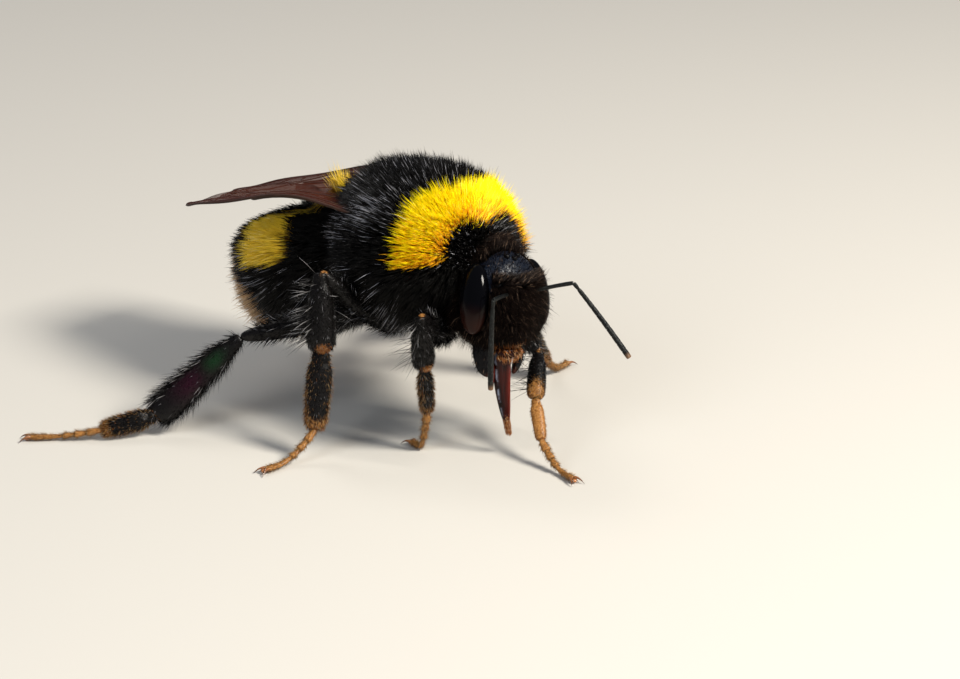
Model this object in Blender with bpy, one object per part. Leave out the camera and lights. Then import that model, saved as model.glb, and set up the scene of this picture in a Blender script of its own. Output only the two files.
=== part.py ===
"""A life-size queen bumblebee, standing: each named part of the body is a closed solid of its own.

Lengths are millimetres in the tables below and are turned into metres by MM. Places are written as
(forward, right, up) as seen by the bee, measured from the floor point under the middle of its thorax.
The head points to -Y, the bee's right side to -X and the back to +Z. The solids reach to the tips of
the coat of hair.
"""

import math

import bmesh
import bpy
from mathutils import Matrix, Vector

MM = 0.001
STANCE_SHIFT = (1.509, -2.52)       # x, y that bring the middle of the whole model over the origin
GAP = 0.06                        # clearance between neighbouring parts
LIMB_SIDES = 10                   # faces round a leg joint
LIMB_RINGS = 8                    # and along it

BODY_PITCH = 7                    # nose-up pitch of the thorax, degrees
THORAX_CENTRE = (0.0, 0.0, 9.2)
THORAX_RADII = (5.1, 4.75, 4.65)  # half length, half width, half height, to the hair tips

HEAD_CENTRE = (5.55, 0.4, 8.15)
HEAD_RADII = (1.7, 2.5, 2.75)
HEAD_YAW = 7                      # the head turns to the bee's right, degrees
HEAD_ROLL = 8                     # and its left cheek hangs lower
EYE_SEAT = (0.0, 1.93, 0.38)      # centre of an eye, forward, out and up from the head's centre
EYE_LEAN = 8
OCELLI = ((-0.3, 0.0), (-0.54, 0.3), (-0.54, -0.3))   # the three small eyes: forward, right
OCELLUS_SIZE = 0.3
# Mouthparts, measured forward, out (to either side) and up from the head's centre.
LABRUM_ENDS = (0.8, 0.65, -2.5)
LABRUM_BOW = (1.3, 0.0, -2.7)
LABRUM_SIZE = (0.6, 0.7)          # width and thickness
MANDIBLE = ((0.3, 1.2, -1.9), (0.35, 1.4, -3.1), (0.6, 0.75, -3.85))   # root, bow and tip
MANDIBLE_SIZE = (0.8, 0.6)
MOUTH = (0.4, 0.0, -2.4)
TONGUE_BOW = (0.65, 0.05, -4.3)
TONGUE_TIP = (6.24, 0.6, 1.15)    # a place of the whole bee
SHEATH_SHARE = 0.8                # how much of the tongue its sheath covers
SHEATH_SIZE = (0.95, 0.8)
TONGUE_WIDTH = 0.5

ABDOMEN_CENTRE = (-7.75, 7.3)     # forward and up
ABDOMEN_RADII = (4.9, 4.5, 4.3)
ABDOMEN_PITCH = -20               # the abdomen hangs: its hind end lies lower than its waist
TAIL_DROOP = 0.9
KEEL = 0.6                        # half width of the strip of coat that stands up between the wings
# Each cut between two rings of the abdomen: where it crosses (forward, up), and how it leans back.
RING_CUTS = ((-6.0, 7.5, -4), (-8.4, 7.5, 3), (-9.9, 7.0, 22), (-10.8, 6.0, 36), (-11.5, 5.0, 48))

WING_BASE = (-0.3, 3.6, 11.4)     # front corner of the forewing's root
WING_SWING = 1.5                  # how far the tips turn in towards each other, degrees
WING_SAG = (0.4, 2.3)             # drop of the wing over 15 mm of its length: straight part, curved part
WING_THICKNESS = 0.5
HINDWING_DROP = 0.56              # the hindwing lies this far under the forewing
HINDWING_INSET = 0.5              # and this far inside its front edge

# name: coxa, knee, ankle, heel (end of the first tarsal joint) and toe.
LEGS = {
    "fore_right": ((3.0, 1.3, 6.3), (3.8, 4.3, 7.65), (3.65, 3.9, 4.85), (3.25, 3.3, 2.3), (1.85, 3.0)),
    "fore_left": ((3.1, -1.6, 6.3), (5.5, -2.3, 4.5), (6.9, -0.6, 2.85), (8.2, 0.35, 1.3), (10.9, 1.0)),
    "mid_right": ((0.2, 1.7, 6.0), (-1.4, 6.0, 9.1), (-0.9, 6.5, 5.25), (-0.45, 7.45, 1.5), (-0.7, 10.55)),
    "mid_left": ((0.2, -1.7, 6.0), (-0.6, -5.9, 8.3), (-0.2, -7.0, 4.4), (0.25, -8.7, 0.9), (-0.2, -10.7)),
    "hind_right": ((-2.2, 1.9, 6.3), (-6.3, 7.0, 4.75), (-8.4, 11.0, 1.05), (-9.85, 13.3, 0.55),
                   (-12.4, 15.9)),
    "hind_left": ((-2.2, -1.9, 6.3), (-4.9, -6.2, 6.4), (-7.9, -8.9, 2.5), (-9.6, -10.6, 0.6),
                  (-11.6, -12.9)),
}
# full width and thickness of the femur, tibia and first tarsal joint of each pair
LIMB_WIDTHS = {
    "fore": ((1.25, 1.0), (1.15, 0.95), (0.85, 0.75)),
    "mid": ((1.4, 1.1), (1.7, 1.2), (1.35, 0.8)),
    "hind": ((1.4, 1.1), (2.2, 0.95), (1.25, 0.7)),
}
TIBIA_SWELL = {"fore": 0.3, "mid": 0.3, "hind": 0.7}   # how much wider its lower end is
TROCHANTER = (1.1, -0.75)         # the bow of the femur, outwards and up from the coxa
HIND_FLAT_FACE = (-0.65, 0.68, 0.34)   # which way the broad face of the hind tibia looks
TOE_RADIUS = 0.27
FOOT_RADII = (0.26, 0.27, 0.25, 0.25, 0.27, 0.25)   # from the heel to the toe
TOE_HEIGHT = 0.21                 # the toe's middle line above the floor; what lies lower is pressed flat
SOLE_LENGTH = 0.75                # how much of the foot lies along the floor
CLAW_LENGTH = 0.55
CLAW_SPREAD = 38                  # heading of a claw from the foot's own, degrees
CLAW_STEPS = ((0.55, 0.75, 0.0), (0.45, 0.4, 0.12))   # share of the length, shrink and dip of each step

FEELER_SEAT = (1.4, 0.53, 0.83)   # socket of a feeler, forward, out and up from the head's centre
FEELER_WIDTH = 0.5
ELBOWS = {"right": (7.75, 3.3, 9.2), "left": (8.5, -1.55, 9.05)}
FEELER_TIPS = {"right": (7.56, 3.28, 4.56), "left": (11.23, -2.65, 5.57)}


def clear_scene():
    for obj in list(bpy.data.objects):
        bpy.data.objects.remove(obj, do_unlink=True)


def collection(name):
    made = bpy.data.collections.new(name)
    bpy.context.scene.collection.children.link(made)
    return made


def bee(forward, right, up):
    """A place given the bee's way, as a vector in metres."""
    return Vector((STANCE_SHIFT[0] - right, STANCE_SHIFT[1] - forward, up)) * MM


def finish(name, colour, roughness, metallic=0.0):
    material = bpy.data.materials.new(name)
    material.use_nodes = True
    shader = material.node_tree.nodes["Principled BSDF"]
    shader.inputs["Base Color"].default_value = (*colour, 1.0)
    shader.inputs["Roughness"].default_value = roughness
    shader.inputs["Metallic"].default_value = metallic
    return material


def solid(name, mesh, material):
    """Puts a finished mesh in the bee's collection as one named part."""
    obj = bpy.data.objects.new(name, mesh)
    BEE.objects.link(obj)
    mesh.materials.append(material)
    mesh.shade_smooth()
    mesh.set_sharp_from_angle(angle=math.radians(50))
    return obj


def cutter(name, mesh):
    """An unseen helper that only shapes other parts."""
    obj = bpy.data.objects.new(name, mesh)
    CUTTERS.objects.link(obj)
    obj.hide_render = True
    obj.display_type = "WIRE"
    return obj


def mesh_from(name, bm):
    bmesh.ops.remove_doubles(bm, verts=bm.verts, dist=1e-6)
    bmesh.ops.recalc_face_normals(bm, faces=bm.faces)
    mesh = bpy.data.meshes.new(name)
    bm.to_mesh(mesh)
    bm.free()
    return mesh


def blob(name, place, shape, material, sides=20, rings=12):
    """A soft closed form: each point of a unit sphere goes through shape, which gives its place in
    millimetres along the part's own forward, right and up, and then through the matrix place."""
    bm = bmesh.new()
    bmesh.ops.create_uvsphere(bm, u_segments=sides, v_segments=rings, radius=1.0)
    for vert in bm.verts:
        forward, right, up = shape(Vector((-vert.co.y, -vert.co.x, vert.co.z)))
        vert.co = place @ (Vector((-right, -forward, up)) * MM)
    return solid(name, mesh_from(name, bm), material)


def placed(centre, yaw=0.0, pitch=0.0, roll=0.0):
    """The matrix of a part at centre, turned to the bee's right by yaw, nose up by pitch and left side
    down by roll."""
    turn = Matrix.Rotation(math.radians(-yaw), 4, "Z")
    turn @= Matrix.Rotation(math.radians(-pitch), 4, "X") @ Matrix.Rotation(math.radians(roll), 4, "Y")
    return Matrix.Translation(bee(*centre)) @ turn


def bend(start, corner, end, t):
    """A point of the curve that leaves start towards corner and arrives at end."""
    return start * (1 - t) ** 2 + corner * (2 * t * (1 - t)) + end * t ** 2


def limb(name, start, end, width, thickness, material, corner=None, flat=None, swell=0.0, blunt=0.55,
         sides=LIMB_SIDES, rings=LIMB_RINGS):
    """A leg-like solid with rounded ends along the curve from start to end. Its section is an ellipse
    of that width and thickness, whose thin way is flat; swell widens it towards its end."""
    corner = corner or (start + end) / 2
    bm = bmesh.new()
    bmesh.ops.create_uvsphere(bm, u_segments=sides, v_segments=rings, radius=1.0)
    for vert in bm.verts:
        t = (1 - vert.co.z) / 2
        along = bend(start, corner, end, min(t + 0.01, 1)) - bend(start, corner, end, max(t - 0.01, 0))
        along.normalize()
        thin = (flat or Vector((0, 0, 1))).copy()
        thin -= along * thin.dot(along)
        thin.normalize()
        wide = along.cross(thin)
        ring = math.hypot(vert.co.x, vert.co.y)
        if ring > 1e-6:
            grow = ring ** blunt * (1 + swell * (t - 0.5)) / ring
        else:
            grow = 0.0
        side = wide * vert.co.x * width / 2 + thin * vert.co.y * thickness / 2
        vert.co = bend(start, corner, end, t) + side * grow * MM
    return solid(name, mesh_from(name, bm), material)


def tube(name, points, radii, material, resolution=3):
    """A round tube through points, whose radius goes through radii, made a mesh with its caps welded."""
    curve = bpy.data.curves.new(name, "CURVE")
    curve.dimensions = "3D"
    curve.bevel_depth = MM
    curve.bevel_resolution = resolution
    curve.use_fill_caps = True
    spline = curve.splines.new("POLY")
    spline.points.add(len(points) - 1)
    for point, place, radius in zip(spline.points, points, radii):
        point.co = (*place, 1)
        point.radius = radius
    guide = bpy.data.objects.new(name + "_guide", curve)
    BEE.objects.link(guide)
    graph = bpy.context.evaluated_depsgraph_get()
    mesh = bpy.data.meshes.new_from_object(guide.evaluated_get(graph))
    bpy.data.objects.remove(guide, do_unlink=True)
    bm = bmesh.new()
    bm.from_mesh(mesh)
    bpy.data.meshes.remove(mesh)
    return solid(name, mesh_from(name, bm), material)


def carve(obj, neighbour, gap=GAP):
    """Cuts from obj the room that its neighbour's uncut form takes, with a clearance all round."""
    bm = bmesh.new()
    bm.from_mesh(neighbour.data)
    bm.normal_update()
    moves = [vert.normal * gap * MM for vert in bm.verts]
    for vert, move in zip(bm.verts, moves):
        vert.co += move
    modifier = obj.modifiers.new("room_for_" + neighbour.name, "BOOLEAN")
    modifier.operation = "DIFFERENCE"
    modifier.solver = "EXACT"
    modifier.object = cutter(f"cut_{obj.name}_{neighbour.name}", mesh_from("room", bm))


def joint_trim(before, joint, after, radius):
    """How far two rounded ends of that radius draw back from a bent joint so that they just clear."""
    half = (before - joint).angle(after - joint) / 2
    return (radius * (1 / math.sin(half) - 1) * 0.8 + GAP / 2) * MM


def drawn_back(point, towards, distance):
    return point + (towards - point).normalized() * distance


def side_sign(side):
    return 1 if side == "right" else -1


def flipped(place, side):
    """The same place on the bee's other side."""
    return (place[0], place[1] * side_sign(side), place[2])


# ---------------------------------------------------------------- thorax

def thorax_shape(p):
    """Domed over the back, a little flat below, and drawn in under the collar to make room for the head."""
    forward, right, up = p
    length, width, height = THORAX_RADII
    low = max(-up, 0.0)
    square = 1 + (0.35 if forward > 0 else 0.7) * (forward * up) ** 2
    return (
        forward * length * square * (1.05 if forward > 0 else 1.0) * (1 - 0.42 * max(forward, 0.0) * low),
        right * width * (1 - 0.1 * low ** 2),
        up * height * square * (1 - 0.12 * low ** 2) - 0.2 * max(forward, 0.0) ** 2,
    )


def make_thorax():
    return blob("thorax", placed(THORAX_CENTRE, pitch=BODY_PITCH), thorax_shape, COAT_BLACK, 24, 14)


# ---------------------------------------------------------------- head, eyes, mouth and feelers

def head_shape(p):
    """Widest at the eyes, drawn in and back towards the mouth, with a fuller face than nape."""
    forward, right, up = p
    depth, width, height = HEAD_RADII
    low = max(-up, 0.0)
    high = max(up, 0.0)
    return (
        forward * depth * (1 - 0.3 * low ** 2) + 0.25 * low ** 2,
        right * width * (1 - 0.35 * low ** 3 - 0.15 * high),
        up * height * (1 - 0.08 * high),
    )


def eye_shape(p):
    """A tall shallow bean that leans a little back at its foot."""
    forward, right, up = p
    return (forward * 0.9 + 0.1 * up, right * 0.62, up * 1.74)


def make_head():
    place = placed(HEAD_CENTRE, HEAD_YAW, roll=HEAD_ROLL)

    def on_head(forward, right, up):
        return place @ (Vector((-right, -forward, up)) * MM)

    head = blob("head", place, head_shape, COAT_BLACK, 20, 14)
    labrum = limb("labrum", on_head(*flipped(LABRUM_ENDS, "left")), on_head(*LABRUM_ENDS), *LABRUM_SIZE,
                  SHELL, corner=on_head(*LABRUM_BOW), flat=Vector((0, 0, 1)), sides=8, rings=8)
    carve(labrum, head)
    for side in ("right", "left"):
        sign = side_sign(side)
        forward, out, up = EYE_SEAT
        lean = Matrix.Rotation(math.radians(sign * EYE_LEAN), 4, "Y")
        seat = place @ Matrix.Translation(Vector((-sign * out, -forward, up)) * MM) @ lean
        carve(head, blob("eye_" + side, seat, eye_shape, EYE, 14, 10))

        root, bow, tip = (on_head(*flipped(spot, side)) for spot in MANDIBLE)
        mandible = limb("mandible_" + side, root, tip, *MANDIBLE_SIZE, SHELL, corner=bow,
                        flat=Vector((-sign, -1, 0)), blunt=0.6)
        carve(mandible, head)
        carve(mandible, labrum)

    for index, (forward, right) in enumerate(OCELLI):
        reach = 1 - (forward / HEAD_RADII[0]) ** 2 - (right / HEAD_RADII[1]) ** 2
        seat = on_head(forward, right, 0.92 * HEAD_RADII[2] * math.sqrt(reach) - 0.03)
        half = Vector((0, 0, OCELLUS_SIZE / 2 * MM))
        ocellus = limb(f"ocellus_{index + 1}", seat - half, seat + half, OCELLUS_SIZE, OCELLUS_SIZE, EYE,
                       flat=Vector((1, 0, 0)), sides=8, rings=6)
        carve(ocellus, head)

    mouth, tongue_bow, tongue_end = on_head(*MOUTH), on_head(*TONGUE_BOW), bee(*TONGUE_TIP)
    sheath_end = bend(mouth, tongue_bow, tongue_end, SHEATH_SHARE)
    sheath = limb("tongue_sheath", mouth, sheath_end, *SHEATH_SIZE, AMBER,
                  corner=(tongue_bow + mouth) / 2, flat=Vector((0, -1, 0)), swell=-0.75, blunt=0.5)
    for mouthpart in ("labrum", "mandible_right", "mandible_left", "head"):
        carve(sheath, bpy.data.objects[mouthpart])
    tip_start = drawn_back(sheath_end, tongue_end, GAP * MM)
    limb("tongue_tip", tip_start, tongue_end, TONGUE_WIDTH, TONGUE_WIDTH, AMBER, sides=8, rings=6)

    for side in ("right", "left"):
        socket = on_head(*flipped(FEELER_SEAT, side))
        elbow, tip = bee(*ELBOWS[side]), bee(*FEELER_TIPS[side])
        trim = joint_trim(socket, elbow, tip, FEELER_WIDTH / 2)
        scape_end, flagellum_start = drawn_back(elbow, socket, trim), drawn_back(elbow, tip, trim)
        scape = limb("scape_" + side, socket, scape_end, FEELER_WIDTH, FEELER_WIDTH, SHELL, sides=8,
                     swell=0.25, corner=(socket + elbow) / 2 + Vector((0, 0, 0.15 * MM)))
        carve(scape, head)
        limb("flagellum_" + side, flagellum_start, tip, FEELER_WIDTH, FEELER_WIDTH, SHELL, sides=8,
             rings=10, blunt=0.25, corner=(elbow + tip) / 2 + Vector((0, 0.12 * MM, 0.25 * MM)))


# ---------------------------------------------------------------- abdomen

def wing_height(forward):
    """Height of the forewing's middle plane, which bows down towards its tip."""
    share = max(WING_BASE[0] - forward, 0.0) / 15
    return WING_BASE[2] - WING_SAG[0] * share - WING_SAG[1] * share ** 2


def abdomen_place(p):
    """A point of the unit sphere carried to the abdomen's surface: an egg hung from the waist whose hind
    end droops, with its back pressed down under the folded wings."""
    lean = math.radians(-ABDOMEN_PITCH)
    length, width, height = ABDOMEN_RADII
    along, upward = p.x * length, p.z * height - TAIL_DROOP * max(-p.x, 0.0) ** 2
    forward = ABDOMEN_CENTRE[0] + along * math.cos(lean) - upward * math.sin(lean)
    up = ABDOMEN_CENTRE[1] + along * math.sin(lean) + upward * math.cos(lean)
    right = p.y * width
    under_wings = wing_height(forward) - WING_THICKNESS / 2 - HINDWING_DROP - 2 * GAP
    if (abs(right) > KEEL and forward < -2.0) or forward < -8.2:
        up = min(up, under_wings)
    return bee(forward, right, up)


def make_abdomen(thorax):
    """The abdomen is made whole, then cut by leaning planes into its six rings."""
    whole = bmesh.new()
    bmesh.ops.create_uvsphere(whole, u_segments=20, v_segments=18, radius=1.0)
    for vert in whole.verts:
        vert.co = Vector((vert.co.z, vert.co.x, vert.co.y))
    for side in (-1, 1):
        edge = side * (KEEL - 0.02) / ABDOMEN_RADII[1]
        bmesh.ops.bisect_plane(whole, geom=whole.verts[:] + whole.edges[:] + whole.faces[:],
                               plane_co=(0, edge, 0), plane_no=(0, 1, 0))
    for vert in whole.verts:
        vert.co = abdomen_place(vert.co)
    bmesh.ops.remove_doubles(whole, verts=whole.verts, dist=1e-6)
    bmesh.ops.triangulate(whole, faces=whole.faces)

    for index in range(len(RING_CUTS) + 1):
        ring = whole.copy()
        for cut, behind in ((index - 1, True), (index, False)):
            if cut < 0 or cut >= len(RING_CUTS):
                continue
            forward, up, lean = RING_CUTS[cut]
            lean = math.radians(lean)
            normal = bee(-math.cos(lean), 0, -math.sin(lean)) - bee(0, 0, 0)
            normal.normalize()
            crossing = bee(forward, 0, up) + normal * GAP / 2 * MM * (1 if behind else -1)
            geometry = ring.verts[:] + ring.edges[:] + ring.faces[:]
            bmesh.ops.bisect_plane(ring, geom=geometry, plane_co=crossing, plane_no=normal,
                                   clear_inner=behind, clear_outer=not behind)
            rim = [edge for edge in ring.edges if edge.is_boundary]
            bmesh.ops.holes_fill(ring, edges=rim, sides=0)
        made = solid(f"abdomen_{index + 1}", mesh_from("abdomen_ring", ring), ABDOMEN_FINISH[index])
        if index < 3:
            carve(made, thorax)
    return cutter("abdomen_whole", mesh_from("abdomen_whole", whole))


# ---------------------------------------------------------------- wings

# Outlines from base to tip and back, as (share of the wing's length, share of its full chord).
FOREWING = ((0.0, 0.0), (0.25, -0.04), (0.55, -0.06), (0.82, 0.02), (0.96, 0.2), (1.0, 0.45), (0.92, 0.78),
            (0.76, 1.0), (0.58, 0.92), (0.38, 0.6), (0.15, 0.35), (0.0, 0.18))
HINDWING = ((0.0, 0.05), (0.4, 0.0), (0.8, 0.1), (1.0, 0.42), (0.86, 0.85), (0.55, 1.0), (0.25, 0.72),
            (0.05, 0.35))
WING_SIZES = {"forewing": (16.1, 4.6), "hindwing": (11.0, 3.0)}


def make_wing(kind, side, outline, thorax, abdomen):
    """A flat wing laid back over the abdomen, its front edge outwards, bent down along its length."""
    length, chord = WING_SIZES[kind]
    curve = bpy.data.curves.new(kind, "CURVE")
    curve.dimensions = "2D"
    curve.fill_mode = "BOTH"
    curve.extrude = WING_THICKNESS / 2 * MM
    curve.resolution_u = 1
    spline = curve.splines.new("BEZIER")
    spline.use_cyclic_u = True
    spline.bezier_points.add(len(outline) - 1)
    for point, (along, across) in zip(spline.bezier_points, outline):
        point.co = (along * length * MM, across * chord * MM, 0)
        point.handle_left_type = point.handle_right_type = "AUTO"
    guide = bpy.data.objects.new("wing_guide", curve)
    BEE.objects.link(guide)
    graph = bpy.context.evaluated_depsgraph_get()
    flat = bpy.data.meshes.new_from_object(guide.evaluated_get(graph))
    bpy.data.objects.remove(guide, do_unlink=True)
    bm = bmesh.new()
    bm.from_mesh(flat)
    bpy.data.meshes.remove(flat)
    bmesh.ops.remove_doubles(bm, verts=bm.verts, dist=1e-6)
    for station in (0.25, 0.5, 0.75):
        bmesh.ops.bisect_plane(bm, geom=bm.verts[:] + bm.edges[:] + bm.faces[:],
                               plane_co=(station * length * MM, 0, 0), plane_no=(1, 0, 0))
    swing = math.radians(WING_SWING)
    drop = HINDWING_DROP if kind == "hindwing" else 0.0
    inset = HINDWING_INSET if kind == "hindwing" else 0.0
    for vert in bm.verts:
        along, across, level = vert.co / MM
        across += inset
        forward = WING_BASE[0] - along * math.cos(swing) + across * math.sin(swing)
        right = WING_BASE[1] - along * math.sin(swing) - across * math.cos(swing)
        vert.co = bee(*flipped((forward, right, wing_height(forward) + level - drop), side))
    middle = Vector((-side_sign(side), 0, 0))
    bmesh.ops.bisect_plane(bm, geom=bm.verts[:] + bm.edges[:] + bm.faces[:], plane_no=middle,
                           plane_co=bee(0, 0, 0) + middle * GAP / 2 * MM, clear_inner=True)
    bmesh.ops.holes_fill(bm, edges=[edge for edge in bm.edges if edge.is_boundary], sides=0)
    made = solid(f"{kind}_{side}", mesh_from(kind, bm), WING)
    carve(made, thorax)
    carve(made, abdomen, 2.5 * GAP)


def make_wings(thorax, abdomen):
    for side in ("right", "left"):
        for kind, outline in (("forewing", FOREWING), ("hindwing", HINDWING)):
            make_wing(kind, side, outline, thorax, abdomen)


# ---------------------------------------------------------------- legs

def grow_claw(bm, toe, heading, side, spread):
    """Draws one hooked claw out of the upper face on that side of the foot's end, in two steps."""
    near = [face for face in bm.faces if (face.calc_center_median() - toe).length < SOLE_LENGTH * 0.7 * MM]
    face = max(near, key=lambda face: face.normal.dot(side + Vector((0, 0, 0.3))))
    out = (heading * math.cos(math.radians(spread)) + side * math.sin(math.radians(spread))) * CLAW_LENGTH * MM
    for share, shrink, dip in CLAW_STEPS:
        face = bmesh.ops.extrude_discrete_faces(bm, faces=[face])["faces"][0]
        middle = face.calc_center_median()
        shift = out * share - Vector((0, 0, dip * MM))
        for vert in face.verts:
            vert.co = middle + (vert.co - middle) * shrink + shift


def make_foot(leg, heel, toe, trim):
    """The last tarsal joints: a slender tube that comes down to the floor, with two claws, pressed flat
    where it stands."""
    start = drawn_back(heel, toe, trim)
    heading = Vector((toe.x - heel.x, toe.y - heel.y, 0)).normalized()
    sole = toe - heading * SOLE_LENGTH * MM
    points = []
    for share in (0, 0.2, 0.45, 0.75, 1):
        point = start + (sole - start) * share
        point.z = sole.z + (start.z - sole.z) * (1 - share) ** 1.7
        points.append(point)
    points.append(toe)
    foot = tube("tarsus_" + leg, points, FOOT_RADII, AMBER, resolution=2)
    bm = bmesh.new()
    bm.from_mesh(foot.data)
    bm.normal_update()
    for sideways in (Vector((-heading.y, heading.x, 0)), Vector((heading.y, -heading.x, 0))):
        grow_claw(bm, toe, heading, sideways, CLAW_SPREAD)
    for vert in bm.verts:
        vert.co.z = max(vert.co.z, 0.0)
    bmesh.ops.triangulate(bm, faces=bm.faces)
    bm.to_mesh(foot.data)
    bm.free()


def make_leg(leg, joints, thorax):
    pair, side = leg.split("_")
    coxa, knee, ankle, heel = (bee(*place) for place in joints[:4])
    toe = bee(*joints[4], TOE_HEIGHT)
    femur_size, tibia_size, first_size = LIMB_WIDTHS[pair]
    knee_trim = joint_trim(coxa, knee, ankle, tibia_size[1] / 2)
    ankle_trim = joint_trim(knee, ankle, heel, first_size[1] / 2)
    heel_trim = joint_trim(ankle, heel, toe, TOE_RADIUS)
    outer = Vector((knee.x - coxa.x, knee.y - coxa.y, 0)).normalized()
    trochanter = coxa + (outer * TROCHANTER[0] + Vector((0, 0, TROCHANTER[1]))) * MM
    femur = limb("femur_" + leg, coxa, drawn_back(knee, trochanter, knee_trim), *femur_size, COAT_BLACK,
                 corner=trochanter, flat=outer.cross(Vector((0, 0, 1))))
    carve(femur, thorax)
    if pair == "fore":
        carve(femur, bpy.data.objects["head"])
    if pair == "hind":
        forward, out, up = HIND_FLAT_FACE
        flat = Vector((-side_sign(side) * out, forward, up))
    else:
        flat = (knee - coxa).cross(toe - knee)
    tibia = limb("tibia_" + leg, drawn_back(knee, ankle, knee_trim), drawn_back(ankle, knee, ankle_trim),
                 *tibia_size, COAT_BLACK, flat=flat, swell=TIBIA_SWELL[pair])
    carve(femur, tibia)
    limb("metatarsus_" + leg, drawn_back(ankle, heel, ankle_trim), drawn_back(heel, ankle, heel_trim),
         *first_size, COAT_BROWN, flat=flat, swell=-0.1)
    make_foot(leg, heel, toe, heel_trim)


# ---------------------------------------------------------------- the whole bee

clear_scene()
BEE = collection("bumblebee")
CUTTERS = collection("cutters")
COAT_BLACK = finish("black_coat", (0.012, 0.010, 0.010), 0.7)
COAT_YELLOW = finish("yellow_coat", (0.85, 0.50, 0.02), 0.7)
COAT_BUFF = finish("buff_coat", (0.62, 0.42, 0.22), 0.7)
COAT_BROWN = finish("brown_leg_coat", (0.10, 0.045, 0.02), 0.6)
SHELL = finish("black_shell", (0.010, 0.010, 0.012), 0.25)
EYE = finish("eye", (0.012, 0.008, 0.008), 0.08)
AMBER = finish("amber_shell", (0.28, 0.07, 0.015), 0.3)
WING = finish("smoky_wing", (0.20, 0.09, 0.05), 0.3)
ABDOMEN_FINISH = (COAT_BLACK, COAT_YELLOW, COAT_BLACK, COAT_BUFF, COAT_BUFF, COAT_BUFF)

THORAX = make_thorax()
make_head()
for covered in ("head", "eye_right", "eye_left"):
    carve(THORAX, bpy.data.objects[covered], 0.1)
make_wings(THORAX, make_abdomen(THORAX))
for leg_name, leg_joints in LEGS.items():
    make_leg(leg_name, leg_joints, THORAX)
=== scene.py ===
"""A life-size queen bumblebee, dressed: skin, coat of hair, eyes, mouthparts, feelers, wings and legs.

Lengths are in millimetres until a mesh is made. Places are first written as (forward, right, up) as the
bee sees them, from the floor point under the middle of its thorax; its head points to -Y.
"""

import math

import bpy
import numpy as np
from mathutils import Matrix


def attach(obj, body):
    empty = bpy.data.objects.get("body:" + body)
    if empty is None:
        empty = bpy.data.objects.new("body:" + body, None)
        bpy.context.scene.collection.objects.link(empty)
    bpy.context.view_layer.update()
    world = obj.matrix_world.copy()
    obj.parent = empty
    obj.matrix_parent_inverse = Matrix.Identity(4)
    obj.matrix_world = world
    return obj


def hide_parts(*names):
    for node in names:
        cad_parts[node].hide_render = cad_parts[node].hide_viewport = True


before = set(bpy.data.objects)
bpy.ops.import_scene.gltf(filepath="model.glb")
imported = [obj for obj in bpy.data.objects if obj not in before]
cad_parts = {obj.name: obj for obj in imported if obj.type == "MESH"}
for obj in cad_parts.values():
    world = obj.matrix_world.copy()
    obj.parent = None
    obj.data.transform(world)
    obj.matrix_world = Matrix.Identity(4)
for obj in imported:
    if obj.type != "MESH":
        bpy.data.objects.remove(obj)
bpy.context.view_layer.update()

# ---------------------------------------------------------------- camera
# A long lens looks at the bee from its front right, a little above its back.
MM = 0.001
STANCE = (1.509, -2.52)           # x and y of the floor point under the thorax, as in the frame
CAMERA_PLACE = (107.42, 107.43, 59.67)
CAMERA_HEADING = -46
CAMERA_DOWN = 20


def bee(forward, right, up):
    """Turns places given the bee's way into the frame's x, y and z, still in millimetres."""
    forward, right, up = np.broadcast_arrays(forward, right, up)
    return np.stack([STANCE[0] - right, STANCE[1] - forward, up], -1)


camera = bpy.data.objects.new("camera", bpy.data.cameras.new("camera"))
camera.data.lens = 120
camera.data.sensor_width = 36
camera.data.clip_start = 0.01
camera.location = bee(*CAMERA_PLACE) * MM
camera.rotation_euler = (math.radians(90 - CAMERA_DOWN), 0, math.radians(CAMERA_HEADING))
bpy.context.scene.collection.objects.link(camera)
bpy.context.scene.camera = camera

# ---------------------------------------------------------------- skin of head, thorax and abdomen
# One closed surface runs from the face over the neck, thorax and waist to the tail. It lies inside the
# solids by the depth of the coat, and is bare and glossy only where the hair is thin.
THORAX_CENTRE = (0.0, 0.0, 9.2)
THORAX_RADII = (5.1, 4.75, 4.65)  # to the hair tips
THORAX_COAT = 1.0                 # depth of the coat
THORAX_PITCH = 7
HEAD_CENTRE = (5.55, 0.4, 8.15)
HEAD_RADII = (1.7, 2.5, 2.75)
HEAD_COAT = 0.3
HEAD_YAW = 7
HEAD_ROLL = 8
EYE_SEAT = (0.2, 1.9, 0.06)       # forward, out and up from the head's centre
EYE_RADII = (0.86, 0.66, 1.7)
EYE_LEAN = 8                      # top towards the other eye, degrees
EYE_RAKE = 0.3                    # top back, foot forward
FEELER_SEAT = (1.2, 0.53, 0.45)   # forward, out and up from the head's centre
ABDOMEN_CENTRE = (-7.75, 0.0, 7.3)
ABDOMEN_RADII = (4.9, 4.5, 4.3)
ABDOMEN_COAT = 0.75
ABDOMEN_PITCH = 20
TAIL_DROOP = 0.9
BACK_FALL = (0.16, 0.12)          # how fast the back falls away under the wings, to the sides and behind
FALL_FROM = (1.4, 8.5)            # how far to the side and behind the thorax's middle that begins
KEEL = 0.6                        # half width of the strip of coat that stands up between the wings
RING_EDGES = (40, 68, 100, 120, 138, 155, 180)   # of the abdomen's rings, degrees from its front
SKIN_CLEARANCE = 0.93             # from the wings' middle plane down to the skin's pressed back
WING_ROOT = (-0.3, 3.6, 11.4)
WING_SAG = (0.4, 2.3)             # drop of the wing over SAG_LENGTH: straight part, curved part
SAG_LENGTH = 15
COLUMNS = 200                     # points round the body
HEAD_ROWS = np.radians(np.linspace(0, 150, 100))
THORAX_ROWS = np.radians(np.linspace(20, 152, 84))
ABDOMEN_ROWS = np.radians(np.linspace(40, 180, 96))


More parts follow.
